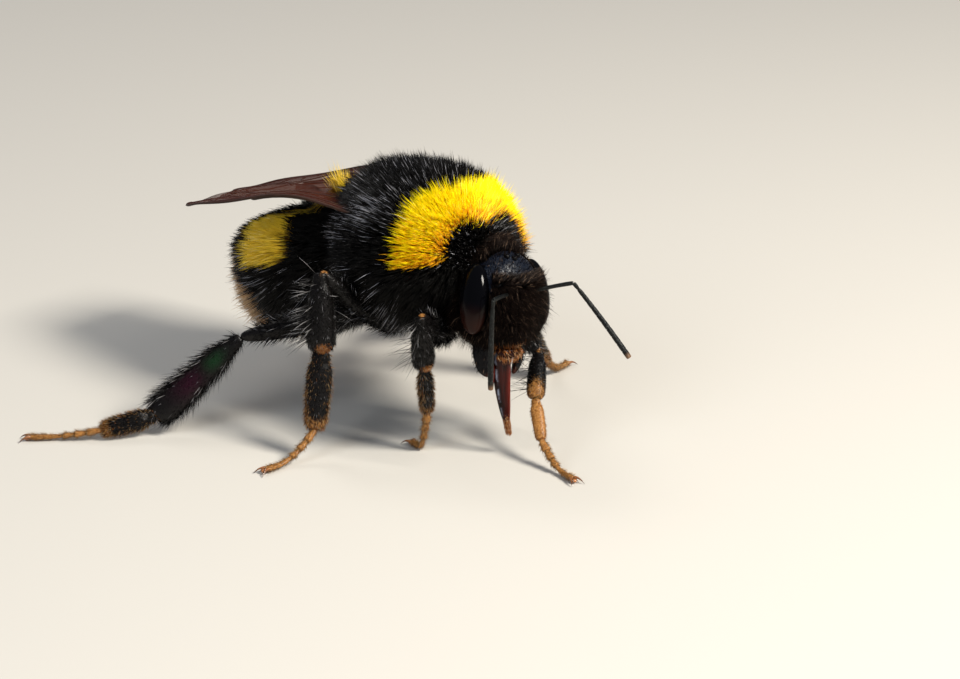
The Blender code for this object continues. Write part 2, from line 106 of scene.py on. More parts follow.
def soft_step(value, low, high):
    """0 below low, 1 above high, and an S curve between."""
    share = np.clip((value - low) / (high - low), 0, 1)
    return share * share * (3 - 2 * share)


def hump(*offsets):
    """A rounded bump: e to the minus sum of the squared offsets."""
    return np.exp(-sum(offset ** 2 for offset in offsets))


def drift(points, size, seed):
    """Soft noise of about -1 to 1: the mean of sine waves of that length in scattered directions."""
    rng = np.random.default_rng(seed)
    waves = rng.normal(size=(3, 6))
    waves *= 2 * np.pi / size / np.linalg.norm(waves, axis=0)
    return np.sin(points @ waves + rng.random(6) * 2 * np.pi).mean(-1) * 1.8


def circle(count):
    """That many angles, evenly spread round a circle."""
    return np.arange(count) * 2 * np.pi / count


def sphere(rows, columns=COLUMNS):
    """Unit sphere points (forward, right, up): rows are angles from the front pole, and the columns run
    from the top over the bee's right side."""
    rows, around = np.meshgrid(rows, circle(columns), indexing="ij")
    return np.stack([np.cos(rows), np.sin(rows) * np.sin(around), np.sin(rows) * np.cos(around)], -1)


def turning(yaw=0, pitch=0, roll=0):
    """Matrix of a part turned to the bee's right by yaw, nose up by pitch, left side down by roll."""
    (cy, sy), (cp, sp), (cr, sr) = ((math.cos(math.radians(a)), math.sin(math.radians(a)))
                                    for a in (-yaw, -pitch, roll))
    about_z = np.array([[cy, -sy, 0], [sy, cy, 0], [0, 0, 1]])
    about_x = np.array([[1, 0, 0], [0, cp, -sp], [0, sp, cp]])
    about_y = np.array([[cr, 0, sr], [0, 1, 0], [-sr, 0, cr]])
    return about_z @ about_x @ about_y


def aligned(vectors, turn):
    """Directions (forward, right, up) of a turned part as directions of the frame."""
    return (np.asarray(vectors) * (-1, -1, 1))[..., [1, 0, 2]] @ turn.T


HEAD_TURN = turning(HEAD_YAW, 0, HEAD_ROLL)
THORAX_TURN = turning(0, THORAX_PITCH)
ABDOMEN_TURN = turning(0, ABDOMEN_PITCH)


def on_head(forward, right, up):
    """Places measured from the head's centre, in the frame."""
    return bee(*HEAD_CENTRE) + aligned(np.stack(np.broadcast_arrays(forward, right, up), -1), HEAD_TURN)


def wing_height(forward):
    """Height of the forewing's middle plane, which bows down towards its tip as a parabola."""
    share = np.maximum(WING_ROOT[0] - forward, 0) / SAG_LENGTH
    return WING_ROOT[2] - WING_SAG[0] * share - WING_SAG[1] * share ** 2


def back_height(forward, right):
    """The wing's height less two squares: of how far a place is beyond FALL_FROM, to the side and behind."""
    beside = np.maximum(np.abs(right) - FALL_FROM[0], 0)
    behind = np.maximum(-forward - FALL_FROM[1], 0)
    return wing_height(forward) - BACK_FALL[0] * beside ** 2 - BACK_FALL[1] * behind ** 2


def head_shape(p):
    """Widest at the eyes, drawn in towards the mouth, with a raised shield (clypeus) above the mouth and
    a dent round each feeler's socket."""
    forward, right, up = np.moveaxis(p, -1, 0)
    depth, width, height = (radius - HEAD_COAT for radius in HEAD_RADII)
    low = np.maximum(-up, 0)
    high = np.maximum(up, 0)
    out = right * width * (1 - 0.35 * low ** 3 - 0.15 * high)
    rise = up * height * (1 - 0.08 * high + 0.06 * low)
    front = forward * depth * (1 - 0.3 * low ** 2) + 0.42 * low ** 2
    face = soft_step(forward, 0, 0.5)
    front += face * 0.2 * hump(out / 0.95, (rise + 1.35) / 0.85)
    front -= face * 0.16 * hump((np.abs(out) - FEELER_SEAT[1]) / 0.24, (rise - FEELER_SEAT[2]) / 0.24)
    front -= face * 0.05 * hump((np.hypot(out / 1.05, (rise + 1.4) / 0.95) - 1) / 0.09)
    return np.stack([front, out, rise], -1)


def thorax_shape(p):
    """Domed over the back, a little flat below, and drawn in under the collar to make room for the head."""
    forward, right, up = np.moveaxis(p, -1, 0)
    length, width, height = (radius - THORAX_COAT for radius in THORAX_RADII)
    low = np.maximum(-up, 0)
    ahead = np.maximum(forward, 0)
    square = 1 + np.where(forward > 0, 0.35, 0.7) * (forward * up) ** 2
    stretch = np.where(forward > 0, 1.05, 1.0)
    return np.stack([
        forward * length * square * stretch * (1 - 0.42 * ahead * low),
        right * width * (1 - 0.1 * low ** 2),
        up * height * square * (1 - 0.12 * low ** 2) - 0.2 * ahead ** 2], -1)


def abdomen_places(p, rows, coat):
    """An egg hung from the waist whose hind end droops, smaller by coat than the solids, with its back
    pressed down under the wings; each ring is thickest at its hind edge, where it laps over the next."""
    length, width, height = (radius - coat for radius in ABDOMEN_RADII)
    angle = np.degrees(rows)[:, None]
    lap = sum(np.where((angle >= a) & (angle < b), (angle - a) / (b - a), 0)
              for a, b in zip(RING_EDGES, RING_EDGES[1:]))
    swell = 1 + 0.022 * (lap - 0.5) * np.sin(rows)[:, None]
    lean = math.radians(ABDOMEN_PITCH)
    along = p[..., 0] * length
    rise = p[..., 2] * height * swell - TAIL_DROOP * np.maximum(-p[..., 0], 0) ** 2
    forward = ABDOMEN_CENTRE[0] + along * math.cos(lean) - rise * math.sin(lean)
    up = ABDOMEN_CENTRE[2] + along * math.sin(lean) + rise * math.cos(lean)
    right = p[..., 1] * width * swell
    pressed = np.minimum(up, back_height(forward, right) - SKIN_CLEARANCE - 0.6 * coat)
    covered = np.maximum(soft_step(np.abs(right), KEEL * 0.6, KEEL * 1.4), soft_step(-forward, 6.7, 7.5))
    covered *= soft_step(-forward, 2.0, 3.5)
    return bee(forward, right, up + (pressed - up) * covered)


def grid_normals(grid):
    """Unit normals of a grid that is closed round its columns: the cross product of its two slopes,
    turned away from the middle of its row."""
    down = np.gradient(grid, axis=0)
    across = np.roll(grid, -1, 1) - np.roll(grid, 1, 1)
    normal = np.cross(down, across)
    outward = grid - grid.mean(1, keepdims=True)
    normal *= np.sign((normal * outward).sum(-1).mean())
    return normal / np.maximum(np.linalg.norm(normal, axis=-1, keepdims=True), 1e-9)


def put(name, points, corners, starts, finish, attributes=None, uv=None):
    """Makes a mesh object from arrays: points in millimetres, the corner list of all faces, where each
    face starts in it, values per point and a place on the UV map per corner."""
    mesh = bpy.data.meshes.new(name)
    mesh.vertices.add(len(points))
    mesh.vertices.foreach_set("co", (np.asarray(points, float) * MM).astype(np.float32).ravel())
    mesh.loops.add(len(corners))
    mesh.loops.foreach_set("vertex_index", np.asarray(corners, np.int32))
    mesh.polygons.add(len(starts))
    mesh.polygons.foreach_set("loop_start", np.asarray(starts, np.int32))
    mesh.polygons.foreach_set("use_smooth", np.ones(len(starts), bool))
    mesh.update(calc_edges=True)
    for key, values in (attributes or {}).items():
        mesh.attributes.new(key, "FLOAT", "POINT").data.foreach_set("value", values.astype(np.float32))
    if uv is not None:
        mesh.uv_layers.new(name="OFBake").data.foreach_set("uv", uv.astype(np.float32).ravel())
    mesh.materials.append(finish.material)
    obj = bpy.data.objects.new(name, mesh)
    bpy.context.scene.collection.objects.link(obj)
    return obj


def closed_forms(name, grids, finish, **fields):
    """One object of closed forms. Each grid is closed round its columns, and its first and last rows
    are single points; fields give a value or an array over the grid for each grid, kept as attributes."""
    points, corners, sizes = [], [], []
    values = {key: [] for key in fields}
    base = 0
    for index, grid in enumerate(grids):
        rows, columns = grid.shape[:2]
        rings = np.arange((rows - 2) * columns).reshape(rows - 2, columns) + base + 1
        turned = np.roll(rings, -1, 1)
        first, last = base, base + (rows - 2) * columns + 1
        quads = np.stack([rings[:-1], rings[1:], turned[1:], turned[:-1]], -1).reshape(-1, 4)
        front = np.stack([np.full(columns, first), rings[0], turned[0]], -1)
        back = np.stack([np.full(columns, last), turned[-1], rings[-1]], -1)
        form = np.vstack([grid[0, :1], grid[1:-1].reshape(-1, 3), grid[-1, :1]])
        a, b, c = form[quads[:, :3].T - base]
        if (np.cross(b - a, c - a) * (a - form.mean(0))).sum() < 0:      # the faces point inwards
            quads, front, back = quads[:, ::-1], front[:, ::-1], back[:, ::-1]
        points.append(form)
        for faces in (front, quads, back):
            corners.append(faces.ravel())
            sizes.append(np.full(len(faces), faces.shape[1]))
        for key, per_grid in fields.items():
            field = np.broadcast_to(per_grid[index], (rows, columns))
            values[key] += [field[0, :1], field[1:-1].ravel(), field[-1, :1]]
        base = last + 1
    sizes = np.concatenate(sizes)
    attributes = {key: np.concatenate(parts) for key, parts in values.items()}
    starts = np.cumsum(sizes) - sizes
    return put(name, np.vstack(points), np.concatenate(corners), starts, finish, attributes)


def cell_areas(grid):
    """Area of each cell of a grid closed round its columns: half the cross product of its diagonals."""
    turned = np.roll(grid, -1, 1)
    return np.linalg.norm(np.cross(turned[1:] - grid[:-1], grid[1:] - turned[:-1]), axis=-1) / 2


class Wire:
    """A socket of a material's nodes; arithmetic on it adds Math nodes and gives the result's socket."""

    def __init__(self, finish, socket):
        self.finish = finish
        self.socket = socket

    def maths(self, operation, *values):
        """The result of a Math node on those values."""
        return self.finish.node("ShaderNodeMath", {"operation": operation}, dict(enumerate(values)))

    def __add__(self, other):
        return self.maths("ADD", self, other)

    def __sub__(self, other):
        return self.maths("SUBTRACT", self, other)

    def __rsub__(self, other):
        return self.maths("SUBTRACT", other, self)

    def __mul__(self, other):
        return self.maths("MULTIPLY", self, other)

    __radd__ = __add__
    __rmul__ = __mul__

    def step(self, low, high):
        """0 below low, 1 above high, and an S curve between."""
        return self.finish.node("ShaderNodeMapRange", {"interpolation_type": "SMOOTHSTEP"},
                                {0: self, 1: low, 2: high})


class Finish:
    """A material with one Principled shader, and the nodes that vary it over the surface."""

    def __init__(self, name, **sockets):
        self.material = bpy.data.materials.new(name)
        self.material.use_nodes = True
        self.tree = self.material.node_tree
        self.shader = self.tree.nodes["Principled BSDF"]
        self.paint(**sockets)

    def paint(self, **sockets):
        """Sets or links the shader's sockets, named with _ for a space."""
        for key, value in sockets.items():
            self.feed(self.shader.inputs[key.replace("_", " ")], value)

    def feed(self, socket, value):
        """Links a wire to a socket, or sets the socket's own value."""
        if isinstance(value, Wire):
            self.tree.links.new(value.socket, socket)
        elif isinstance(value, tuple) and len(value) == 3 and len(socket.default_value) == 4:
            socket.default_value = (*value, 1)
        else:
            socket.default_value = value

    def node(self, kind, settings, sockets, output=0):
        """Adds a node: its settings come first, then the values or links of its sockets."""
        made = self.tree.nodes.new(kind)
        for key, value in settings.items():
            setattr(made, key, value)
        for key, value in sockets.items():
            self.feed(made.inputs[key], value)
        return Wire(self, made.outputs[output])

    def attribute(self, name):
        """A value that the mesh keeps for each of its points."""
        return self.node("ShaderNodeAttribute", {"attribute_name": name}, {}, "Fac")

    def place(self):
        """Object coordinates, in metres."""
        return self.node("ShaderNodeTexCoord", {}, {}, "Object")

    def noise(self, size, detail=2.0, stretch=(1, 1, 1)):
        """Cloudy noise with grains of that many millimetres."""
        place = self.node("ShaderNodeVectorMath", {"operation": "MULTIPLY"}, {0: self.place(), 1: stretch})
        return self.node("ShaderNodeTexNoise", {},
                         {"Vector": place, "Scale": 1 / (size * MM), "Detail": detail})

    def mix(self, share, first, second):
        """The first colour where share is 0, the second where it is 1."""
        return self.node("ShaderNodeMix", {"data_type": "RGBA"}, {0: share, 6: first, 7: second}, 2)

    def bump(self, height, depth, strength=1.0):
        """Bump from a height of 0 to 1 that stands for depth millimetres."""
        relief = {"Strength": strength, "Distance": depth * MM, "Height": height}
        self.paint(Normal=self.node("ShaderNodeBump", {}, relief))


signed_side = (np.arange(COLUMNS) * 360 / COLUMNS + 180) % 360 - 180     # positive on the right
side = np.abs(signed_side)                                               # 0 on the back, 180 on the belly
head_local = head_shape(sphere(HEAD_ROWS))
head_grid = on_head(*np.moveaxis(head_local, -1, 0))
thorax_grid = bee(*THORAX_CENTRE) + aligned(thorax_shape(sphere(THORAX_ROWS)), THORAX_TURN)
abdomen_grid = abdomen_places(sphere(ABDOMEN_ROWS), ABDOMEN_ROWS, ABDOMEN_COAT)
trunk = np.concatenate([head_grid, thorax_grid, abdomen_grid])
trunk_normals = grid_normals(trunk)


def joined(head, thorax, abdomen):
    """A field of the whole trunk from a value or grid for each part."""
    grids = (head_grid, thorax_grid, abdomen_grid)
    return np.concatenate([np.broadcast_to(np.asarray(part, float), grid.shape[:2])
                           for part, grid in zip((head, thorax, abdomen), grids)])


# The markings: a yellow collar, a yellow belt on the second ring, and a buff tail.
thorax_angle = np.degrees(THORAX_ROWS)[:, None] + 3 * drift(thorax_grid, 2.2, 1)
turned = np.abs(signed_side + 5)                  # the collar is turned a little with the head
collar_front = 32 + 6 * soft_step(turned, 15, 80) + 28 * soft_step(turned, 82, 98)
collar_back = 53 + 16 * soft_step(turned, 5, 50)
collar = soft_step(thorax_angle, collar_front - 6, collar_front + 6)
collar *= 1 - soft_step(thorax_angle, collar_back - 6, collar_back + 5)
collar *= 1 - soft_step(turned, 88, 95)
abdomen_angle = np.degrees(ABDOMEN_ROWS)[:, None] + 2.5 * drift(abdomen_grid, 2.0, 2)
belt_front = 42 + 23 * soft_step(side, 6, 11) - 5 * soft_step(side, 20, 50)
belt_back = 64 + 24 * soft_step(side, 6, 11) + 9 * soft_step(side, 20, 60)
belt = soft_step(abdomen_angle, belt_front - 3, belt_front + 3)
belt *= 1 - soft_step(abdomen_angle, belt_back - 4, belt_back + 4)
belt *= 1 - soft_step(side, 80, 91)
belt *= 1 - 0.7 * hump((side - 20) / 9)           # thinly covered by black hair beside the keel
tail_start = 121 - 21 * soft_step(side, 80, 110)
tail = soft_step(abdomen_angle, tail_start - 4, tail_start + 4)
yellow = joined(0.0, collar, belt)
buff = joined(0.0, 0.0, tail)

# The head has no hair under the eyes, and little on the crown round the simple eyes and round the top
# of each eye.
head_forward, head_right, head_up = np.moveaxis(head_local, -1, 0)
head_out = np.abs(head_right)
tan_lean = math.tan(math.radians(EYE_LEAN))
eye_up = (head_up - EYE_SEAT[2]) / EYE_RADII[2]
eye_out = (head_out - EYE_SEAT[1] + tan_lean * EYE_RADII[2] * eye_up) / EYE_RADII[1]
eye_forward = (head_forward - EYE_SEAT[0] + EYE_RAKE * eye_up) / EYE_RADII[0]
eye_gap = np.sqrt(eye_forward ** 2 + eye_out ** 2 + eye_up ** 2)
under_eye = 1 - soft_step(eye_gap, 1.0, 1.06)
crown = soft_step(head_up, 1.2, 1.4) * soft_step(head_forward, -0.3, -0.05)
orbit = (1 - soft_step(eye_gap, 1.14, 1.24)) * soft_step(head_up, 0.3, 0.8)
orbit *= soft_step(head_forward, -0.7, -0.4)
bare_head = np.maximum(crown, orbit)
sockets = hump((head_out - FEELER_SEAT[1]) / 0.2, (head_up - FEELER_SEAT[2]) / 0.2)
bare = joined(bare_head, 0.0, 0.0)

skin_finish = Finish("skin", IOR=1.33)
grain = skin_finish.noise(0.22, 3)
pits = skin_finish.noise(0.07, 1)
dark_skin = skin_finish.mix(grain, (0.002, 0.002, 0.003), (0.006, 0.006, 0.008))
dark_skin = skin_finish.mix(skin_finish.attribute("bare"), dark_skin, (0.003, 0.006, 0.014))
yellow_skin = skin_finish.mix(skin_finish.attribute("yellow") * 0.8, dark_skin, (0.22, 0.09, 0.004))
buff_skin = skin_finish.mix(skin_finish.attribute("buff") * 0.8, yellow_skin, (0.2, 0.11, 0.05))
skin_finish.paint(Base_Color=buff_skin, Roughness=0.55 - 0.3 * skin_finish.attribute("bare") + 0.2 * grain)
skin_finish.bump(grain * 0.5 + pits.step(0.45, 0.7) * 0.5, 0.07)

skin = closed_forms("skin", [trunk], skin_finish, yellow=[yellow], buff=[buff], bare=[bare])
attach(skin, "root")
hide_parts("thorax", "head", *(f"abdomen_{ring}" for ring in range(1, 7)))

# ---------------------------------------------------------------- coat of the body
# Every hair is a closed three-sided spike rooted in the skin: long ones with one bend over a dense
# straight down. It stands upright on the thorax, lies backwards on the abdomen, and is shortest on the face.
LONG_HAIRS = 88000
LONG_WIDTH = 0.022
DOWN_HAIRS = 100000
DOWN_WIDTH = 0.016
DOWN_LENGTH = 0.6                 # as a share of the long hairs', except on the head
LIFT_SPREAD = 6                   # how much the lift of like hairs varies, degrees
STRAY_FROM = 0.89                 # a hair whose random number is above this is longer than its neighbours
STRAY_LENGTHS = (1.75, 1.4)       # so many times, on the head and on the rest
WISP = 0.26                       # size of the tufts in which hairs draw together
ROOT_DEPTH = 0.04
KEEL_END = 7.2                    # how far behind the thorax the keel of hair between the wings ends
HAIR_CLEARANCE = 0.9              # from the wings' middle plane down to the tips under them
PIECE_HAIRS = 19900               # at ten triangles each, a piece has under 200,000
HAIR_PATCH = 0.003                # width of a hair's patch on the unwrapped skin


def scatter(grid, density, count, rng):
    """Random places (row, column) on a grid, as many in each cell as its area times its density says."""
    weight = np.cumsum(cell_areas(grid) * density[:-1])
    cell = np.searchsorted(weight, rng.random(count) * weight[-1])
    row, column = np.divmod(np.minimum(cell, weight.size - 1), grid.shape[1])
    return row + rng.random(count), column + rng.random(count)


def sample(field, places):
    """A grid's values at places between its points, by weighing the four corners of the cell."""
    row, column = places
    r, c = row.astype(int), column.astype(int)
    shape = (-1,) + (1,) * (field.ndim - 2)
    a, b = (row - r).reshape(shape), (column - c).reshape(shape)
    r2, c2 = np.minimum(r + 1, field.shape[0] - 1), (c + 1) % field.shape[1]
    this_column = field[r, c] * (1 - a) + field[r2, c] * a
    next_column = field[r, c2] * (1 - a) + field[r2, c2] * a
    return this_column * (1 - b) + next_column * b


def unit(vectors):
    """Vectors scaled to a length of 1."""
    return vectors / np.maximum(np.linalg.norm(vectors, axis=-1, keepdims=True), 1e-9)


def grown(root, normal, comb, length, lift, rng, wander=0.2, curl=14):
    """Middle and tip of each hair: it leaves the skin at its lift plus curl, in degrees, towards the
    comb's direction along the skin, and ends at its lift minus curl; wander turns it sideways."""
    lay = unit(comb - (comb * normal).sum(-1, keepdims=True) * normal)
    lay = unit(lay + np.cross(normal, lay) * rng.normal(0, wander, (len(root), 1)))
    lift = lift + rng.normal(0, LIFT_SPREAD, len(root))
    middle = root
    for angle in (lift + curl, lift - curl):
        angle = np.radians(angle)[:, None]
        previous = middle
        middle = middle + (normal * np.sin(angle) + lay * np.cos(angle)) * length[:, None] / 2
    return previous, middle


def gathered(root, middle, tip, size, pull):
    """Draws hairs that grow near each other together into pointed wisps: each tip goes part of the way
    to the mean tip of the roots in its cell of space."""
    warped = root / size + 0.5 * np.sin(root[:, [1, 2, 0]] * 2.1 / size)
    cells = np.unique(np.floor(warped).astype(int), axis=0, return_inverse=True)[1].ravel()
    share = np.bincount(cells)
    for part, strength in ((middle, pull * 0.35), (tip, pull)):
        mean = np.stack([np.bincount(cells, part[:, axis]) / share for axis in range(3)], -1)
        part += (mean[cells] - part) * strength[:, None]


def hairs(name, root, middle, tip, width, spot, tone, finish, bent=True):
    """One joined mesh of spikes: a triangle at the root, in a bent one a slimmer one at the bend, and the
    tip. Each has a patch of the unwrapped skin at its root's spot."""
    count = len(root)
    axis = unit(tip - root)
    across = unit(np.cross(axis, (0.31, 0.55, 0.78)))
    third = np.cross(axis, across)
    angles = circle(3)[:, None]
    ring = (across[:, None] * np.cos(angles) + third[:, None] * np.sin(angles)) * width[:, None, None]
    shape = [[2, 1, 0]]
    places = [[(0.0, 0.0), (0.5, 0.0), (1.0, 0.0)]]
    if bent:
        points = np.concatenate([root[:, None] + ring, middle[:, None] + ring * 0.75, tip[:, None]], 1)
        heights = (0, 0, 0, 0.55, 0.55, 0.55, 1.0)
    else:
        points = np.concatenate([root[:, None] + ring, tip[:, None]], 1)
        heights = (0, 0, 0, 1.0)
    upper = len(heights) - 4      # first point of the ring that the tip stands on
    for first in range(3):
        second = (first + 1) % 3
        low, high = first / 3, (first + 1) / 3
        if bent:
            shape.append([first, second, second + 3, first + 3])
            places.append([(low, 0.0), (high, 0.0), (high, 0.5), (low, 0.5)])
        shape.append([first + upper, second + upper, upper + 3])
        places.append([(low, 0.5), (high, 0.5), (low, 1.0)])
    sizes = np.array([len(face) for face in shape])
    corners = np.concatenate(shape) + len(heights) * np.arange(count)[:, None]
    starts = np.cumsum(sizes) - sizes + sizes.sum() * np.arange(count)[:, None]
    uv = spot[:, None] + (np.concatenate(places) - 0.5) * HAIR_PATCH
    return put(name, points.reshape(-1, 3), corners.ravel(), starts.ravel(), finish,
               {"along": np.tile(heights, count), "tone": np.repeat(tone, len(heights))}, uv.reshape(-1, 2))


def hair_finish(name, root, tip, pale, roughness, pale_from=0.9, depth=0.5, IOR=1.5):
    """Hair with a colour for its root and tip. Each hair's tone takes it towards its root's colour by up
    to depth, and from the tone pale_from on, its tip turns pale, a painted glint on that hair."""
    made = Finish(name, IOR=IOR)
    along = made.attribute("along")
    tone = made.attribute("tone")
    shade = made.mix(along.step(0.0, 0.85), root, tip)
    shade = made.mix((tone * depth) * (1 - along * 0.5), shade, root)
    made.paint(Base_Color=made.mix(tone.step(pale_from, 1.0) * along, shade, pale),
               Roughness=roughness + 0.15 * tone)
    return made


# The third colour of each finish, its pale tip, is a painted glint.
black_hair = hair_finish("black_hair", (0.0006, 0.0005, 0.0005), (0.005, 0.0045, 0.004),
                         (0.62, 0.61, 0.65), 0.15, pale_from=0.94, IOR=1.22)
face_hair = hair_finish("face_hair", (0.0006, 0.0004, 0.0003), (0.007, 0.0035, 0.0025),
                        (0.3, 0.2, 0.14), 0.4, pale_from=0.94, IOR=1.15)
orange_hair = hair_finish("orange_hair", (0.01, 0.002, 0.0005), (0.5, 0.16, 0.025),
                          (1.0, 0.7, 0.36), 0.25, pale_from=0.72)
yellow_hair = hair_finish("yellow_hair", (0.95, 0.48, 0.0), (1.0, 0.85, 0.0),
                          (1.0, 0.92, 0.2), 0.5, pale_from=0.95, depth=0.7, IOR=1.25)
amber_hair = hair_finish("amber_hair", (0.55, 0.14, 0.0), (1.0, 0.47, 0.0),
                         (1.0, 0.75, 0.1), 0.4, IOR=1.35)
belt_hair = hair_finish("belt_hair", (0.42, 0.20, 0.004), (1.0, 0.68, 0.03),
                        (1.0, 0.88, 0.35), 0.42, pale_from=0.8)
buff_hair = hair_finish("buff_hair", (0.30, 0.14, 0.05), (0.76, 0.49, 0.25),
                        (0.95, 0.8, 0.55), 0.42)


# Where the parts of the coat lie, from 0 to 1.
nape = soft_step(-head_forward, 0.1, 0.5)
brow = hump((head_up - 0.9) / 0.25, head_right / 1.4) * soft_step(head_forward, 0, 0.6)
cheek = soft_step(head_out, 0.9, 1.8) * soft_step(-head_up, -0.2, 1.0)
muzzle = soft_step(-head_up - 0.15 * head_right, 1.1, 2.1) * soft_step(head_forward, 0, 0.5)
muzzle *= 1 - soft_step(head_out, 0.75, 1.2)
upper = soft_step(head_up, 0.5, 1.1)
wing_tuft = np.maximum(hump((side - 54) / 10, (thorax_angle - 90) / 10),
                       hump((side - 68) / 12, (thorax_angle - 124) / 12))
belly = soft_step(side, 125, 155)
flank = soft_step(side, 80, 115)
keel = 1 - soft_step(side, 8, 20)
# Amber on the collar's lower sides, stronger on the bee's right: partly the coat's own colour, partly painted
# shade, as the right side lies in shade.
low_collar = soft_step(signed_side, 35, 85) + 0.6 * soft_step(-signed_side, 45, 85)
fore_edge = 1 - soft_step(thorax_angle, collar_front + 1, collar_front + 14)
hollow = hump((side - 82) / 13, (thorax_angle - 97) / 26)     # where the wing's root shades the flank

# Over the trunk: how densely the hairs stand, how long they are, how many degrees they rise from the
# skin, how far they draw together, what share of the yellow ones is amber, where some of the black ones
# get pale tips as painted glints, and where painted shade lets none turn pale.
head_density = 1.4 * (1 - under_eye) * (1 - 0.93 * soft_step(bare_head, 0.2, 0.7)) * (1 - 0.8 * sockets)
head_density *= 1 - 0.72 * soft_step(muzzle, 0.2, 0.7)
density = joined(head_density, 1.0 + 0.6 * collar - 0.5 * belly - 0.35 * wing_tuft,
                 0.75 + 0.35 * belt - 0.3 * belly)
length = joined(0.52 + 0.1 * brow + 0.2 * nape + 0.25 * cheek - 0.12 * muzzle - 0.3 * bare_head,
                1.0 + 0.05 * collar + 0.6 * flank + 0.7 * wing_tuft - 0.5 * belly,
                1.2 + 0.1 * belt + 0.3 * flank - 0.2 * belly - 0.25 * keel * soft_step(side, 2, 12))
lift = joined(64 + 4 * cheek - 4 * nape - 16 * muzzle, 80 - 42 * flank - 50 * wing_tuft,
              42 - 6 * flank + 18 * keel)
pull = joined(0.35, 0.45 - 0.25 * collar + 0.2 * flank + 0.2 * wing_tuft
              + 0.2 * collar * soft_step(side, 40, 85), 0.5 - 0.3 * keel)
gold = joined(0.0, np.clip(0.02 + 0.4 * low_collar + 0.3 * fore_edge * low_collar + 0.5 * fore_edge,
                           0, 0.85), 0.0)
# Where the wing's tufts and the flank catch light, pale tips are painted glints; they fade out in the painted
# shade of the wing's root.
painted_glint = joined(0.0, (0.8 * wing_tuft + 0.22 * flank * soft_step(thorax_angle, 55, 85)) * (1 - hollow),
                0.05 * flank)
# Painted shade: beside the wing's root, on the flank by the head and at the front of the abdomen's sides,
# hair tones are held low so that no tip turns pale.
shadow = joined(0.0, np.maximum(hollow, 0.4 * flank * (1 - soft_step(thorax_angle, 50, 75))),
                0.8 * hump((side - 70) / 35, (abdomen_angle - 48) / 14))


def combed(forward, right, up, grid, turn):
    """The way the hairs of a part lie, from how far forward, right and up, as directions of the frame."""
    ways = [np.broadcast_to(way, grid.shape[:2]) for way in (forward, right, up)]
    return aligned(np.stack(ways, -1), turn)


fan = 0.9 * np.clip(signed_side / 14, -1, 1) * keel
comb = np.concatenate([
    combed(0.2 * upper - 0.5 * nape, 0.3 * head_right * (1 - upper), 1.6 * upper - 1, head_grid, HEAD_TURN),
    combed(-0.8, 0.0, -0.9 * flank, thorax_grid, THORAX_TURN),
    combed(-1.0, fan, -0.25 * flank, abdomen_grid, ABDOMEN_TURN)])

